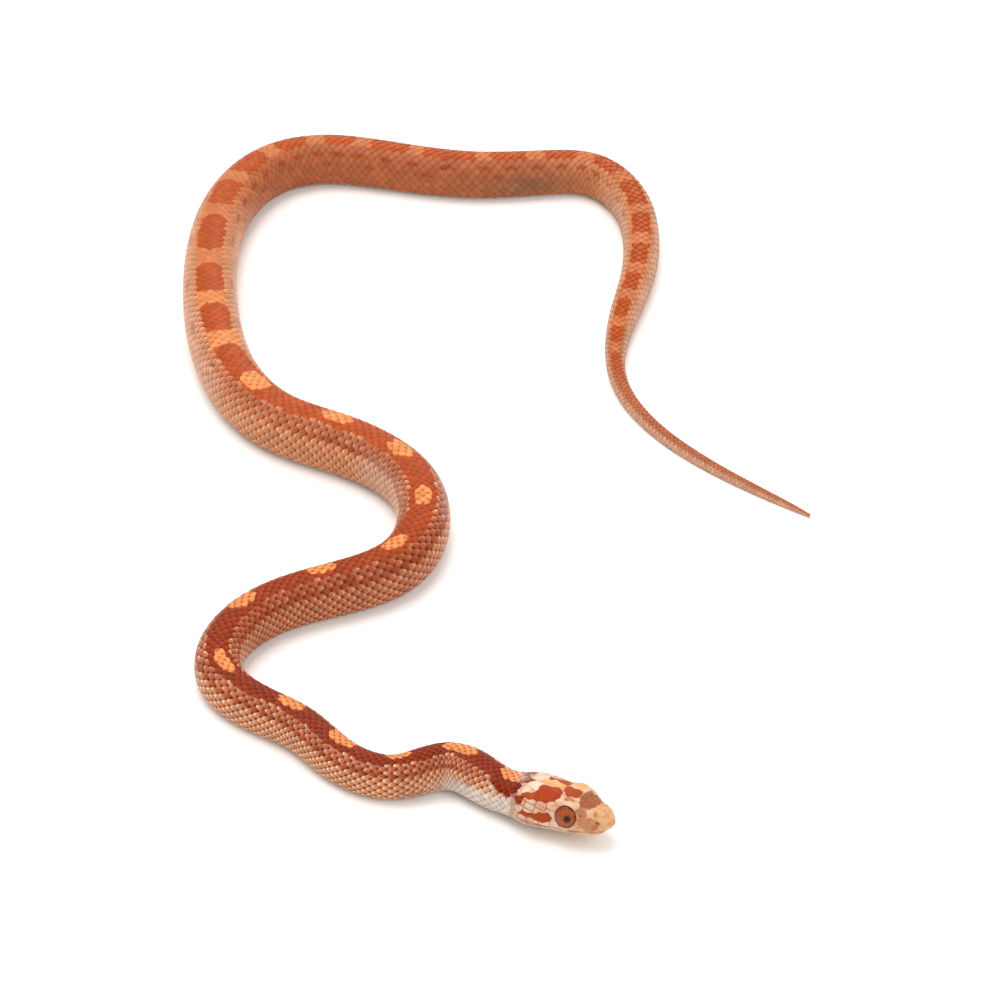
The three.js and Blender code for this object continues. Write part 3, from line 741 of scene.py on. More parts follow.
class CornSnakeSizes(bpy.types.PropertyGroup):
    scale_pitch: length_setting("Scale pitch", "Distance between rings of scales on the body", 1.39)
    scale_relief: length_setting("Scale relief", "How far a scale's tip stands above its root", 0.12)
    scale_thickness: length_setting("Scale thickness", "Thickness of a scale", 0.06)
    skin_depth: length_setting("Skin depth", "How far the skin lies below the tips of the scales", 0.13)
    seam_depth: length_setting("Seam depth", "Depth of the seams between the head's shields", 0.07)


class CornSnakeStage(bpy.types.PropertyGroup):
    floor: colour_setting("Floor", "The pale floor", 250, 249, 246)
    elevation: bpy.props.FloatProperty(
        name="Camera elevation", description="How far the camera looks down", subtype="ANGLE",
        default=math.radians(37.5))
    height: length_setting("Camera height", "Height of the camera above the floor", 407.0)
    foot_x: length_setting("Camera place across", "The camera's place from left to right", 1.8)
    foot_y: length_setting("Camera place behind", "The camera's place from front to back", -536.1)
    field: bpy.props.FloatProperty(
        name="Field of view", description="The camera's field of view", subtype="ANGLE",
        default=math.radians(12))


# The skin

FIRST_RING = -3.9
# The pitch along the snake as a share of the setting: [distance, share].
PITCH_SHARES = np.array([
    [-4, 0.7], [15, 0.72], [30, 0.95], [45, 1.0], [100, 1.0], [130, 0.95], [285, 0.9], [300, 0.62],
    [344, 0.48],
])
# How many rows of scales lie round the back up to each distance.
ROW_COUNTS = [
    (140, 29), (196, 27), (226, 25), (250, 23), (272, 21), (291, 19), (300, 15), (312, 11), (326, 9),
    (BODY_LENGTH + 1, 7),
]


def scale_rings(pitch):
    """The places of the rings of scales along the snake, with the pitch at each."""
    places, pitches = [], []
    s = FIRST_RING
    while s < BODY_LENGTH - 0.5:
        local = float(pitch * np.interp(s, *PITCH_SHARES.T))
        places.append(s)
        pitches.append(local)
        s += local
    return np.array(places), np.array(pitches)


def row_count(s):
    return next(rows for end, rows in ROW_COUNTS if s < end)


# The large shields of the crown, seen from above: [distance from the snout, distance from the midline].
CROWN = [
    [[0.72, 0.0], [1.95, 0.0], [2.1, 0.8], [1.6, 1.22], [0.95, 0.85]],
    [[1.95, 0.0], [3.85, 0.0], [4.02, 1.0], [3.72, 1.9], [2.8, 1.95], [2.1, 1.42], [2.1, 0.8]],
    [[4.02, 1.0], [3.72, 1.9], [4.3, 2.45], [5.6, 2.8], [6.9, 2.85], [7.5, 2.4], [7.05, 1.08], [5.5, 1.08]],
    [[7.7, 0.0], [7.05, 1.08], [7.5, 2.4], [8.7, 2.6], [10.3, 2.05], [11.7, 1.4], [12.1, 0.6], [11.6, 0.0]],
]
FRONTAL = [
    [3.85, 0.0], [4.02, 1.0], [5.5, 1.08], [7.05, 1.08], [7.7, 0.0], [7.05, -1.08], [5.5, -1.08],
    [4.02, -1.0],
]

# Middles of the smaller shields of each side: [distance from the snout, angle round the section].
SIDE_SHIELDS = (
    [[1.0, 60], [1.85, 66], [2.9, 70], [3.95, 62], [7.35, 56], [7.4, 76], [8.7, 60], [8.9, 80]]
    + [[10.2, 52], [10.3, 68], [10.5, 84], [11.5, 46], [11.6, 60], [11.7, 76]]
    + [[x, 101] for x in (0.95, 2.05, 3.1, 4.2, 5.4, 6.7, 8.2, 9.8, 11.3)]
    + [[x, 130] for x in (0.9, 2.0, 3.1, 4.2, 5.4, 6.7, 8.1, 9.5, 11.0)]
    + [[2.4, 162], [4.9, 164], [7.0, 158], [7.3, 176]]
    + [[8.6 + 1.1 * i, 146 + 14 * j + 7 * (i % 2)] for i in range(5) for j in range(3)]
    + [[12.7, 52], [12.9, 68], [13.0, 84], [12.8, 100], [13.0, 118]]
)


def stroke(x, y, ax, ay, bx, by, half_width):
    length = (bx - ax) ** 2 + (by - ay) ** 2
    share = np.clip(((x - ax) * (bx - ax) + (y - ay) * (by - ay)) / length, 0, 1)
    away = np.hypot(x - ax - share * (bx - ax), y - ay - share * (by - ay))
    return 1 - smoothstep(half_width * 0.7, half_width * 1.25, away)


def arc_at_angle(x, degrees):
    """Signed arc from the crown, in millimetres, of a section angle at one distance from the snout."""
    row = int(round(min(x, HEAD_LENGTH) / HEAD_X[1]))
    share = np.interp(abs(math.radians(degrees)), HEAD_ANGLES[row], HEAD_SHARES)
    return math.copysign(share * HEAD_ROUND[row], degrees)


def arc_at_across(x, y):
    """Signed arc from the crown of a point seen from above."""
    row = int(round(x / HEAD_X[1]))
    across, _ = head_section(np.full(91, HEAD_X[row]), HEAD_ANGLES[row][:91])
    share = np.interp(abs(y), across, HEAD_SHARES[:91])
    return math.copysign(share * HEAD_ROUND[row], y)


def head_shields(x, arc):
    """For points on the head: the distance to the nearest seam, and a tone for each shield."""
    best = np.full(x.shape, -1e9)
    tone = np.zeros(x.shape)
    outlines = [(FRONTAL, 1)] + [(outline, side) for outline in CROWN for side in (1, -1)]
    for k, (outline, side) in enumerate(outlines):
        drawn = [[px, arc_at_across(px, py * side)] for px, py in outline]
        away = inside_distance(x, arc, drawn)
        tone = np.where(away > best, (0.37 * (k + 1)) % 1, tone)
        best = np.maximum(best, away)
    middles = [[px, arc_at_angle(px, angle * side)] for px, angle in SIDE_SHIELDS for side in (1, -1)]
    first = np.full(x.shape, 1e9)
    second = np.full(x.shape, 1e9)
    owner = np.zeros(x.shape, int)
    for k, (px, py) in enumerate(middles):
        away = np.hypot(x - px, (arc - py) * 1.05)
        nearer = away < first
        second = np.where(nearer, first, np.minimum(second, away))
        owner = np.where(nearer, k, owner)
        first = np.where(nearer, away, first)
    between = (second - first) / 2
    seam = np.where(best > 0, best, np.minimum(-best, between))
    tone = np.where(best > 0, tone, (0.618 * owner) % 1)
    return seam, tone


def head_relief(x, up, arc, angle, seam_depth):
    """How far the head's skin is pushed out or in, with the masks for its colours."""
    seam, tone = head_shields(x, arc)
    plated = 1 - smoothstep(12.4, 13.4, x)
    rise = plated * (0.02 * smoothstep(0.0, 0.5, seam) - seam_depth * np.exp(-(seam / 0.085) ** 2))
    below = up - lip_height(x)
    mouth = np.exp(-(below / 0.1) ** 2) * (1 - smoothstep(MOUTH_CORNER - 0.4, MOUTH_CORNER + 0.5, x))
    mouth *= np.abs(angle) > math.radians(60)
    lips = np.exp(-((np.abs(below) - 0.4) / 0.25) ** 2) * (1 - smoothstep(10, 13, x))
    rise = rise - 0.24 * mouth + 0.04 * lips * (np.abs(angle) > math.radians(70))
    pit_arc = arc_at_angle(*NOSTRIL)
    pit = np.exp(-(((x - NOSTRIL[0]) / 0.2) ** 2 + ((np.abs(arc) - pit_arc) / 0.15) ** 2))
    rise = rise - 0.28 * pit
    brow = sum(stroke(x, np.abs(arc), *a, *b, 0.35) for a, b in zip(BROW, BROW[1:]))
    rise = rise + 0.13 * np.minimum(brow, 1)
    return rise, {"seam": seam, "tone": tone, "mouth": mouth, "pit": pit}


def head_colours(x, up, arc, marks):
    """Masks for the colours of the head."""
    paint = painted(x, arc)
    temple = smoothstep(7, 8.5, x) * smoothstep(3.0, 3.6, np.abs(arc))
    seam = (0.22 + 0.2 * smoothstep(3, 5, x) + 0.4 * temple) * np.exp(-(marks["seam"] / 0.08) ** 2)
    # The mouth's crease and the nostrils' pits take the seam colour too: painted shade in these hollows.
    seam = np.maximum(seam, np.maximum(0.85 * marks["mouth"], marks["pit"]))
    brick = np.maximum(paint["band"], 0.6 * paint["outline"])
    snout = (1 - smoothstep(2.2, 4.6, x + 0.25 * np.abs(arc))) * smoothstep(-0.2, 0.8, up - lip_height(x))
    snout = np.maximum(0.9 * snout, 0.45 * (1 - smoothstep(4.0, 7.5, x)))
    return brick, np.maximum(paint["gold"], paint["spot"]), snout, seam, paint


def skin_grid(sides):
    """The places of the skin's rings, close together on the head, and the shares of arc round them."""
    nose = NOSE_ROUND * (1 - np.cos(np.linspace(0.08, math.pi / 2, 24, endpoint=False)))
    head = np.linspace(NOSE_ROUND, HEAD_LENGTH, 206, endpoint=False)
    body = np.concatenate([np.linspace(0, 300, 168, endpoint=False), np.linspace(300, BODY_LENGTH - 0.1, 34)])
    rings = np.concatenate([nose - HEAD_LENGTH, head - HEAD_LENGTH, body])
    shares = -1 + 2 * (np.arange(sides) + 0.5) / sides
    return rings, shares


def grid_normals(points):
    """The outward normals of a grid of points that closes round the snake."""
    along = np.gradient(points, axis=0)
    around = np.roll(points, -1, axis=1) - np.roll(points, 1, axis=1)
    normal = np.cross(around, along)
    return normal / (np.linalg.norm(normal, axis=-1, keepdims=True) + 1e-12)


def tube_faces(count, sides):
    """Faces for rings of points one after another, closed at each end by a fan round one more point."""
    faces = []
    for i in range(count - 1):
        row = i * sides
        for k in range(sides):
            following = (k + 1) % sides
            faces.append((row + k, row + sides + k, row + sides + following, row + following))
    first, last = count * sides, count * sides + 1
    end = (count - 1) * sides
    for k in range(sides):
        following = (k + 1) % sides
        faces.append((first, k, following))
        faces.append((last, end + following, end + k))
    return faces


def socket_move(local, s, side):
    """How the skin moves at an eye: up a little to the eye's rim, and down to pass under the eyeball."""
    look = eye_axes(side)[0]
    place = local - EYE_PLACE * (1, side, 1)
    height = place @ look
    away = np.linalg.norm(place - height[..., None] * look, axis=-1)
    near = smoothstep(-1.0, -0.5, height) * (s < -6)
    rim = 0.03 + 0.07 * np.exp(-((away - EYE_RADIUS - 0.16) / 0.1) ** 2)
    target = np.where(away < EYE_RADIUS, -0.35, rim)
    share = near * (1 - smoothstep(EYE_RADIUS + 0.02, EYE_RADIUS + 0.75, away))
    return head_turned((share * (target - height))[..., None] * look)


def flat(grid):
    """A mask for the skin's points: those of the rings, and the two at the ends."""
    values = np.ravel(grid)
    return np.concatenate([values, values[[0, -1]]])


# Where the head and the body lie on the skin's map, from low to high, and a height between the two.
HEAD_CHART = 0.36
HEAD_CHART_TALL = 0.6
BODY_CHART = 0.03
BODY_CHART_TALL = 0.28
CHART_GAP = 0.34


class CORNSNAKE_OT_skin(bpy.types.Operator):
    """Lay one skin over head, body and tail, with the shields, lips, nostrils and eye sockets of the head"""
    bl_idname = "cornsnake.skin"
    bl_label = "Skin"

    def execute(self, context):
        sizes = context.scene.corn_snake_sizes
        sides = 200
        rings, shares = skin_grid(sides)
        s, f = np.meshgrid(rings, shares, indexing="ij")
        base = outer(s, f)
        normal = grid_normals(base)
        x = np.clip(s + HEAD_LENGTH, 0, HEAD_LENGTH)
        angle = head_angle(x, -f)
        across, up = head_section(x, angle)
        arc = -f * np.interp(x, HEAD_X, HEAD_ROUND)
        on_head = 1 - smoothstep(-3.6, -2.2, s)
        rise, marks = head_relief(x, up, arc, angle, sizes.seam_depth / MM)
        depth = sizes.skin_depth / MM * smoothstep(-4.6, -3.2, s)
        depth = depth * np.interp(s, [0, 290, 344], [1, 0.9, 0.45])
        base = base + normal * (rise * on_head - depth)[..., None]
        for side in (1, -1):
            base = base + socket_move(np.stack([x, across, up], -1), s, side)
        # The snout overhangs the lower jaw a little.
        tucked = (up < lip_height(x)) * np.clip(1 - x / 2.2, 0, 1) * 0.35
        base[..., 0] += tucked * math.cos(HEAD_TURN)
        base[..., 1] += tucked * math.sin(HEAD_TURN)
        base[..., 2] = np.maximum(base[..., 2], 0.05)

        vertices = np.vstack([base.reshape(-1, 3), base[0].mean(0), base[-1].mean(0)])
        made = make_object("skin", vertices, tube_faces(len(rings), sides))

        body = markings(s, f)
        brick, gold, snout, seam, paint = head_colours(x, up, arc, marks)
        tone = np.where(on_head > 0.5, marks["tone"], 0.5)
        set_marks(made, "marks_body", *(flat(body[key]) for key in ("band", "spot", "line", "belly")))
        set_marks(made, "marks_scale", flat(0.4 + 0.5 * (1 - on_head) * body["net"]), flat(body["browner_and_painted_shade"]),
                  flat(body["grey"]), flat(0.3 + 0.4 * tone))
        set_marks(made, "marks_tone", flat(body["ripe"]), flat(body["hind"]))
        set_marks(made, "marks_head", flat(on_head), flat(paint["orange"]), flat(brick), flat(paint["olive"]))
        set_marks(made, "marks_face", flat(gold), flat(snout), flat(paint["rust"]), flat(seam * on_head))

        self.unwrap(made, f, rings, sides)
        material = skin_material("snake_skin", context.scene.corn_snake_colours, 0.42, True)
        dress(made, material, "body_skin", "head", "lower_jaw", *[name for name, _ in LENGTHS])
        return {"FINISHED"}

    def unwrap(self, made, f, rings, sides):
        """The OFBake map: the head on the upper two thirds and the body on a strip below it."""
        count = len(rings)
        head_count = np.searchsorted(rings, 0)
        ring = np.arange(count)[:, None] * np.ones((1, sides))
        on_head = np.arange(count)[:, None] < head_count
        u = np.where(on_head, ring / head_count, (ring - head_count) / (count - head_count))
        start = np.where(on_head, HEAD_CHART, BODY_CHART)
        v = start + np.where(on_head, HEAD_CHART_TALL, BODY_CHART_TALL) * (f + 1) / 2
        uv = np.stack([0.02 + 0.96 * u, v], -1).reshape(-1, 2)
        uv = np.vstack([uv, uv[sides // 2], uv[-sides // 2]])
        loops = np.zeros(len(made.data.loops), dtype=np.int64)
        made.data.loops.foreach_get("vertex_index", loops)
        side_of = np.concatenate([np.tile(np.arange(sides), count), [sides // 2] * 2])[loops]
        chart = uv[loops]
        self.close_charts(made, chart, side_of, loops // sides, sides, head_count)
        layer = made.data.uv_layers.new(name="OFBake")
        layer.data.foreach_set("uv", chart.astype(np.float32).ravel())

    def close_charts(self, made, chart, side_of, ring_of, sides, head_count):
        """Carries each chart past its edge under the belly, and the head's over the body's first ring."""
        starts = np.zeros(len(made.data.polygons), dtype=np.int64)
        totals = np.zeros(len(made.data.polygons), dtype=np.int64)
        made.data.polygons.foreach_get("loop_start", starts)
        made.data.polygons.foreach_get("loop_total", totals)
        corners = starts[totals == 4][:, None] + np.arange(4)
        sides_met = side_of[corners]
        wraps = (sides_met.max(1) == sides - 1) & (sides_met.min(1) == 0)
        rings_met = ring_of[corners]
        crossing = (rings_met.min(1) == head_count - 1) & (rings_met.max(1) == head_count)
        for corner in range(4):
            at = corners[wraps, corner]
            at = at[side_of[at] == 0]
            chart[at, 1] += np.where(chart[at, 1] > CHART_GAP, HEAD_CHART_TALL, BODY_CHART_TALL)
        for corner in range(4):
            at = corners[crossing, corner]
            at = at[chart[at, 1] < CHART_GAP]
            chart[at, 0] = 0.985
            chart[at, 1] = HEAD_CHART + HEAD_CHART_TALL * (chart[at, 1] - BODY_CHART) / BODY_CHART_TALL


# The eyes

def eye_axes(side):
    """The way an eye looks, and the level and upright directions across it."""
    look = EYE_LOOK * (1, side, 1)
    look = look / np.linalg.norm(look)
    level = np.cross(look, (0, 0, 1))
    level = level / np.linalg.norm(level) * side
    upright = np.cross(level, look) * side
    return look, level, upright


class CORNSNAKE_OT_eyes(bpy.types.Operator):
    """Set the two eyes in their sockets"""
    bl_idname = "cornsnake.eyes"
    bl_label = "Eyes"

    def execute(self, context):
        material = eye_material("snake_eye", context.scene.corn_snake_colours)
        for name, node, side in (("right_eye", "eye_right", 1), ("left_eye", "eye_left", -1)):
            bpy.ops.object.select_all(action="DESELECT")
            bpy.ops.mesh.primitive_uv_sphere_add(segments=64, ring_count=48, radius=1.0)
            made = context.active_object
            made.name = name
            made.data.name = name
            points = np.zeros(len(made.data.vertices) * 3)
            made.data.vertices.foreach_get("co", points)
            points = points.reshape(-1, 3)
            look, level, upright = eye_axes(side)
            stand = np.where(points[:, 2] > 0, EYE_BULGE, 1.2) * points[:, 2] - 0.02
            local = (
                EYE_PLACE * (1, side, 1) + EYE_RADIUS * (points[:, :1] * level + points[:, 1:2] * upright)
                + stand[:, None] * look)
            made.data.vertices.foreach_set("co", (head_to_world(local) * MM).ravel())
            made.data.update()
            bpy.ops.object.mode_set(mode="EDIT")
            bpy.ops.mesh.select_all(action="SELECT")
            bpy.ops.mesh.normals_make_consistent(inside=False)
            bpy.ops.object.mode_set(mode="OBJECT")
            bpy.ops.object.shade_smooth()
            # The masks are the place on the eye's disc, from the snout to the back and from low to high.
            front = points[:, 2] > -0.05
            across = np.where(front, points[:, 0], 1.0) * 0.5 + 0.5
            above = np.where(front, points[:, 1], 1.0) * 0.5 + 0.5
            set_marks(made, "marks_eye", across, above)
            made.data.uv_layers[0].name = "OFBake"
            dress(made, material, "eye", node)
        return {"FINISHED"}


# The scales

def scale_master():
    """One scale, modelled once: a long plate, widest at its middle, that narrows straight to its tip."""
    bpy.ops.object.select_all(action="DESELECT")
    bpy.ops.mesh.primitive_grid_add(x_subdivisions=5, y_subdivisions=4, size=2.0)
    master = bpy.context.active_object
    for vertex in master.data.vertices:
        u = (vertex.co.x + 1) / 2
        vertex.co.x = u
        vertex.co.y *= np.interp(u, [0, 0.2, 0.4, 0.6, 0.8, 1.0], [0.6, 0.85, 1.0, 0.97, 0.62, 0.12])
    thicken = master.modifiers.new("thickness", "SOLIDIFY")
    thicken.thickness = 1.0
    thicken.offset = -1.0
    bpy.ops.object.modifier_apply(modifier=thicken.name)
    points = np.array([vertex.co[:] for vertex in master.data.vertices])
    faces = [tuple(face.vertices) for face in master.data.polygons]
    mesh = master.data
    bpy.data.objects.remove(master)
    bpy.data.meshes.remove(mesh)
    return points, faces


def plate_points(s, f, length, half_width, master, root, tip, crown, thickness):
    """Lays copies of a plate along the surface: s and f are the plates' middles, one for each copy."""
    u, v, layer = master[:, 0], master[:, 1], master[:, 2]
    run = s[:, None] + (u - 0.45) * length[:, None]
    round_ = half_round(s)[:, None]
    share = f[:, None] + v * half_width[:, None] / round_
    height = root + (tip - root) * u ** 1.1 + crown * (1 - v * v) * (u > 0.05)
    height = height[None, :] + layer[None, :] * thickness
    run = np.clip(run, -HEAD_LENGTH + 1, BODY_LENGTH)
    fit = np.interp(s, [0, 290, 344], [1, 0.85, 0.4])[:, None]
    return outer(run, share) + outward(run, share) * (height * fit)[..., None]


def join_copies(points, faces):
    """One list of points and faces from many copies of a plate."""
    copies, each = points.shape[0], points.shape[1]
    flat = points.reshape(-1, 3)
    joined = [tuple(corner + k * each for corner in face) for k in range(copies) for face in faces]
    return flat, joined


class CORNSNAKE_OT_scales(bpy.types.Operator):
    """Cover each length of the body with overlapping scales and belly scutes"""
    bl_idname = "cornsnake.scales"
    bl_label = "Scales"

    def execute(self, context):
        sizes = context.scene.corn_snake_sizes
        relief = sizes.scale_relief / MM
        thickness = sizes.scale_thickness / MM
        master, faces = scale_master()
        places, pitches = scale_rings(sizes.scale_pitch / MM)
        material = skin_material("snake_scales", context.scene.corn_snake_colours, 0.36, False)
        random = np.random.default_rng(11)
        starts = [-99.0] + [end for _, end in LENGTHS[:-1]]
        for (name, end), start in zip(LENGTHS, starts):
            chosen = [i for i, s in enumerate(places) if start <= s < end]
            middle, share, length, half, cell = [], [], [], [], []
            for i in chosen:
                rows = row_count(places[i])
                reach = (rows - 1) / 2
                for row in range(rows):
                    number = row - reach
                    offset = 0.5 if row % 2 else 0.0
                    s = places[i] + offset * pitches[i]
                    f = number / (reach + 0.62) * KEEL
                    if s < 0 and not self.covers(s, f):
                        continue
                    spacing = KEEL * half_round(np.array(s)) / (reach + 0.62)
                    middle.append(s)
                    share.append(f)
                    length.append(pitches[i] * 1.5)
                    half.append(spacing * 1.0)
                    cell.append((pitches[i], spacing))
            middle, share = np.array(middle), np.array(share)
            length, half, cell = np.array(length), np.array(half), np.array(cell)
            half = half * random.uniform(0.96, 1.03, len(half))
            length = length * random.uniform(0.97, 1.03, len(length))
            points = plate_points(middle, share, length, half, master, -relief, 0.0, 0.02, thickness)
            vertices, joined = join_copies(points, faces)
            vary = np.repeat(random.uniform(0, 1, len(middle)), len(master))
            u = np.tile(master[:, 0], len(middle))
            v = np.tile(master[:, 1], len(middle))
            # A scale takes the markings of a place halfway between its own middle and each of its points.
            beside = 0.5 * v * np.repeat(half / half_round(middle), len(master))
            before = 0.5 * (u - 0.45) * np.repeat(length, len(master))
            marks = markings(np.repeat(middle, len(master)) + before,
                             np.clip(np.repeat(share, len(master)) + beside, -1, 1))
            # The mask is 1 at the dark root of a scale, 0.4 in its middle and 0 round its pale tip.
            border = np.maximum(smoothstep(0.3, 0.95, np.abs(v)), smoothstep(0.7, 0.95, u))
            rim = smoothstep(0.45, 0.75, u) * border
            edge = 0.4 + 0.6 * (1 - smoothstep(0.4, 0.7, u)) * (1 - 0.4 * rim) - 0.4 * rim
            first = middle.min() - 2.0
            span = middle.max() + 2.0 - first
            cell_s = np.repeat(cell[:, 0], len(master))
            cell_f = np.repeat(cell[:, 1] / half_round(middle), len(master))
            map_u = (np.repeat(middle, len(master)) + (u - 0.5) * 0.8 * cell_s - first) / span
            map_v = 0.02 + 0.84 * ((np.repeat(share, len(master)) + v * 0.38 * cell_f) / KEEL + 1) / 2
            uv = np.stack([map_u, map_v], -1)

            under, under_faces, under_marks, under_uv = self.scutes(
                chosen, places, pitches, relief, thickness, first, span, random)
            joined += [tuple(corner + len(vertices) for corner in face) for face in under_faces]
            vertices = np.vstack([vertices, under])
            vertices[:, 2] = np.maximum(vertices[:, 2], 0.004)
            made = make_object("scales_" + name, vertices, joined)

            def join(key, own):
                return np.concatenate([own, under_marks[key]])
            set_marks(made, "marks_body", join("band", marks["band"]), join("spot", marks["spot"]),
                      join("line", marks["line"]), join("belly", marks["belly"]))
            set_marks(made, "marks_scale", join("edge", 0.4 + (edge - 0.4) * marks["net"]),
                      join("browner_and_painted_shade", marks["browner_and_painted_shade"]), join("grey", marks["grey"]), join("vary", vary))
            set_marks(made, "marks_tone", join("ripe", marks["ripe"]), join("hind", marks["hind"]))
            set_bake_map(made, np.vstack([uv, under_uv]))
            dress(made, material, "tail_skin" if name.startswith("tail") else "body_skin")
        return {"FINISHED"}

    def covers(self, s, f):
        """On the back of the head scales begin behind the crown shields, the temples and the lips."""
        x = s + HEAD_LENGTH
        begin = np.interp(abs(f), [0.0, 0.12, 0.3, 0.5, 0.62, 0.8], [12.5, 12.7, 12.6, 13.0, 13.4, 13.6])
        return x > begin

    def scutes(self, chosen, places, pitches, relief, thickness, first, span, random):
        """Belly scutes: one broad plate for each ring, or a pair under the tail."""
        along, across = 4, 11
        points, faces, maps, count = [], [], [], 0
        keys = ("band", "spot", "line", "belly", "edge", "browner_and_painted_shade", "grey", "vary", "ripe", "hind")
        marks = {key: [] for key in keys}
        for i in chosen:
            s, pitch = places[i], pitches[i]
            if s < -2.6:
                continue
            pairs = [(-1.0, -0.02), (0.02, 1.0)] if s > TAIL_START else [(-1.0, 1.0)]
            for low, high in pairs:
                offset = 0.5 * pitch if low > 0 else 0.0
                u, g = np.meshgrid(np.linspace(0, 1, along), np.linspace(low, high, across), indexing="ij")
                side = np.where(g >= 0, 1.0, -1.0)
                f = side * (1 - (1 - KEEL + 0.045) * np.abs(g))
                swept = (u - 0.3) * pitch * 1.35 - 0.25 * np.abs(g) ** 3 * pitch
                run = np.clip(s + offset + swept, -14, BODY_LENGTH)
                fit = np.interp(s, [0, 290, 344], [1, 0.85, 0.4])
                height = -relief * 0.9 * (1 - u) * fit
                normal = outward(run, f * 0.9995)
                top = outer(run, f) + normal * height[..., None]
                bottom = outer(run, f) + normal * (height - thickness * fit)[..., None]
                points.append(np.vstack([top.reshape(-1, 3), bottom.reshape(-1, 3)]))
                faces += self.slab(along, across, count)
                count += 2 * along * across
                map_u = (s + offset + (u - 0.5) * 0.8 * pitch - first) / span
                map_v = 0.89 + 0.1 * (g + 1) / 2
                maps.append(np.tile(np.stack([map_u, map_v], -1).reshape(-1, 2), (2, 1)))
                value = np.tile(u.ravel(), 2)
                body = markings(np.full(value.shape, s), np.full(value.shape, 0.99))
                for key in ("band", "spot", "line"):
                    marks[key].append(np.zeros(value.shape))
                tail = smoothstep(296, 316, s)
                marks["belly"].append(np.full(value.shape, 1 - 0.45 * tail))
                marks["edge"].append(np.clip(0.9 - value * 0.8, 0.2, 0.9))
                for key in ("browner_and_painted_shade", "ripe", "hind"):
                    marks[key].append(body[key])
                marks["grey"].append(np.zeros(value.shape))
                marks["vary"].append(np.full(value.shape, random.uniform(0.3, 0.8)))
        marks = {key: np.concatenate(value) for key, value in marks.items()}
        return np.vstack(points), faces, marks, np.vstack(maps)

    def slab(self, along, across, start):
        """The faces of a closed slab made of two grids of points, one over the other."""
        faces = []

        def top(i, k):
            return start + i * across + k

        def low(i, k):
            return start + along * across + i * across + k

        for i in range(along - 1):
            for k in range(across - 1):
                faces.append((top(i, k), top(i, k + 1), top(i + 1, k + 1), top(i + 1, k)))
                faces.append((low(i, k), low(i + 1, k), low(i + 1, k + 1), low(i, k + 1)))
            for k, turn in ((0, 1), (across - 1, -1)):
                wall = (top(i, k), top(i + 1, k), low(i + 1, k), low(i, k))
                faces.append(wall[::turn])
        for k in range(across - 1):
            for i, turn in ((0, -1), (along - 1, 1)):
                wall = (top(i, k), top(i, k + 1), low(i, k + 1), low(i, k))
                faces.append(wall[::turn])
        return faces


# The stage

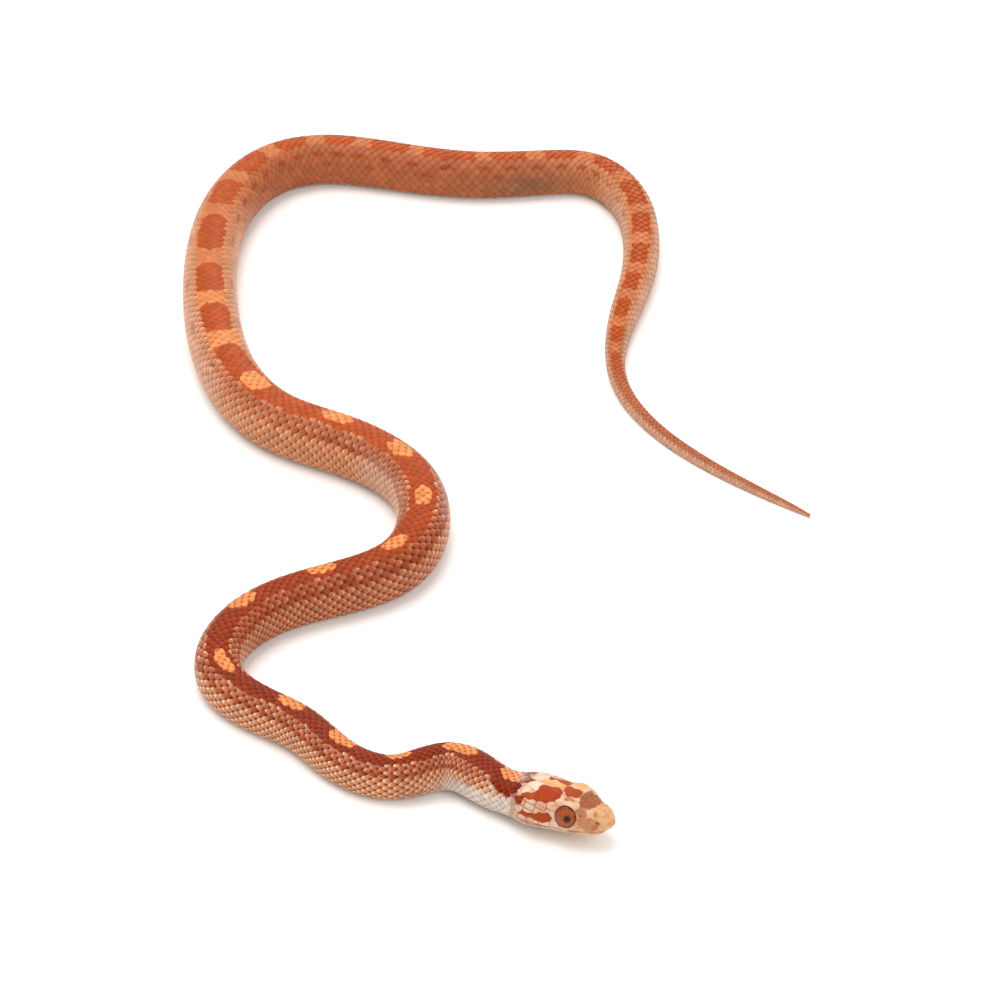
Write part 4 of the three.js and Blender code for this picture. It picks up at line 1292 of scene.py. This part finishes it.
class CORNSNAKE_OT_stage(bpy.types.Operator):
    """Set the camera, the pale floor and the soft lights"""
    bl_idname = "cornsnake.stage"
    bl_label = "Stage"

    def execute(self, context):
        scene = context.scene
        stage = scene.corn_snake_stage
        scene.view_settings.view_transform = "Standard"
        bpy.ops.object.select_all(action="DESELECT")
        bpy.ops.mesh.primitive_plane_add(size=6.0, location=(0, 0, -0.00001))
        floor = context.active_object
        floor.name = "floor"
        sh = Shader("pale_floor")
        sh.set(Base_Color=stage.floor, Roughness=0.7)
        floor.data.materials.append(sh.material)

        lens = bpy.data.cameras.new("camera")
        camera = bpy.data.objects.new("camera", lens)
        scene.collection.objects.link(camera)
        camera.location = (stage.foot_x, stage.foot_y, stage.height)
        camera.rotation_euler = (math.pi / 2 - stage.elevation, 0, 0)
        lens.sensor_width = 36.0
        lens.lens = 18.0 / math.tan(stage.field / 2)
        lens.clip_start, lens.clip_end = 0.01, 20.0
        scene.camera = camera

        lights = [
            ("key", (-0.25, 0.15, 0.9), 0.8, 7.0),
            ("front", (0.5, -0.7, 0.7), 0.6, 3.0),
            ("rim", (0.1, 0.9, 0.5), 0.5, 2.0),
        ]
        for name, place, size, watts in lights:
            light = bpy.data.lights.new(name, "AREA")
            light.size = size
            light.energy = watts
            lamp = bpy.data.objects.new(name, light)
            scene.collection.objects.link(lamp)
            lamp.location = place
            aim = -np.array(place)
            lamp.rotation_euler = (
                math.acos(-aim[2] / np.linalg.norm(aim)), 0, math.atan2(aim[1], aim[0]) - math.pi / 2)
        world = bpy.data.worlds.new("soft_room")
        world.use_nodes = True
        world.node_tree.nodes["Background"].inputs["Color"].default_value = (1, 1, 1, 1)
        world.node_tree.nodes["Background"].inputs["Strength"].default_value = 0.72
        scene.world = world
        return {"FINISHED"}


class CORNSNAKE_PT_panel(bpy.types.Panel):
    bl_label = "Corn snake"
    bl_idname = "CORNSNAKE_PT_panel"
    bl_space_type = "VIEW_3D"
    bl_region_type = "UI"
    bl_category = "Corn snake"

    def draw(self, context):
        for operator in (CORNSNAKE_OT_stage, CORNSNAKE_OT_skin, CORNSNAKE_OT_eyes, CORNSNAKE_OT_scales):
            self.layout.operator(operator.bl_idname)
        for group in ("corn_snake_sizes", "corn_snake_colours", "corn_snake_stage"):
            settings = getattr(context.scene, group)
            box = self.layout.box()
            for key in settings.bl_rna.properties.keys():
                if key not in ("rna_type", "name"):
                    box.prop(settings, key)


CLASSES = (
    CornSnakeColours, CornSnakeSizes, CornSnakeStage, CORNSNAKE_OT_stage, CORNSNAKE_OT_skin,
    CORNSNAKE_OT_eyes, CORNSNAKE_OT_scales, CORNSNAKE_PT_panel,
)


def register():
    for cls in CLASSES:
        bpy.utils.register_class(cls)
    bpy.types.Scene.corn_snake_colours = bpy.props.PointerProperty(type=CornSnakeColours)
    bpy.types.Scene.corn_snake_sizes = bpy.props.PointerProperty(type=CornSnakeSizes)
    bpy.types.Scene.corn_snake_stage = bpy.props.PointerProperty(type=CornSnakeStage)


def unregister():
    for name in ("corn_snake_colours", "corn_snake_sizes", "corn_snake_stage"):
        delattr(bpy.types.Scene, name)
    for cls in reversed(CLASSES):
        bpy.utils.unregister_class(cls)


def main():
    register()
    bpy.ops.cornsnake.stage()
    bpy.ops.cornsnake.skin()
    bpy.ops.cornsnake.eyes()
    bpy.ops.cornsnake.scales()


if __name__ == "__main__":
    main()
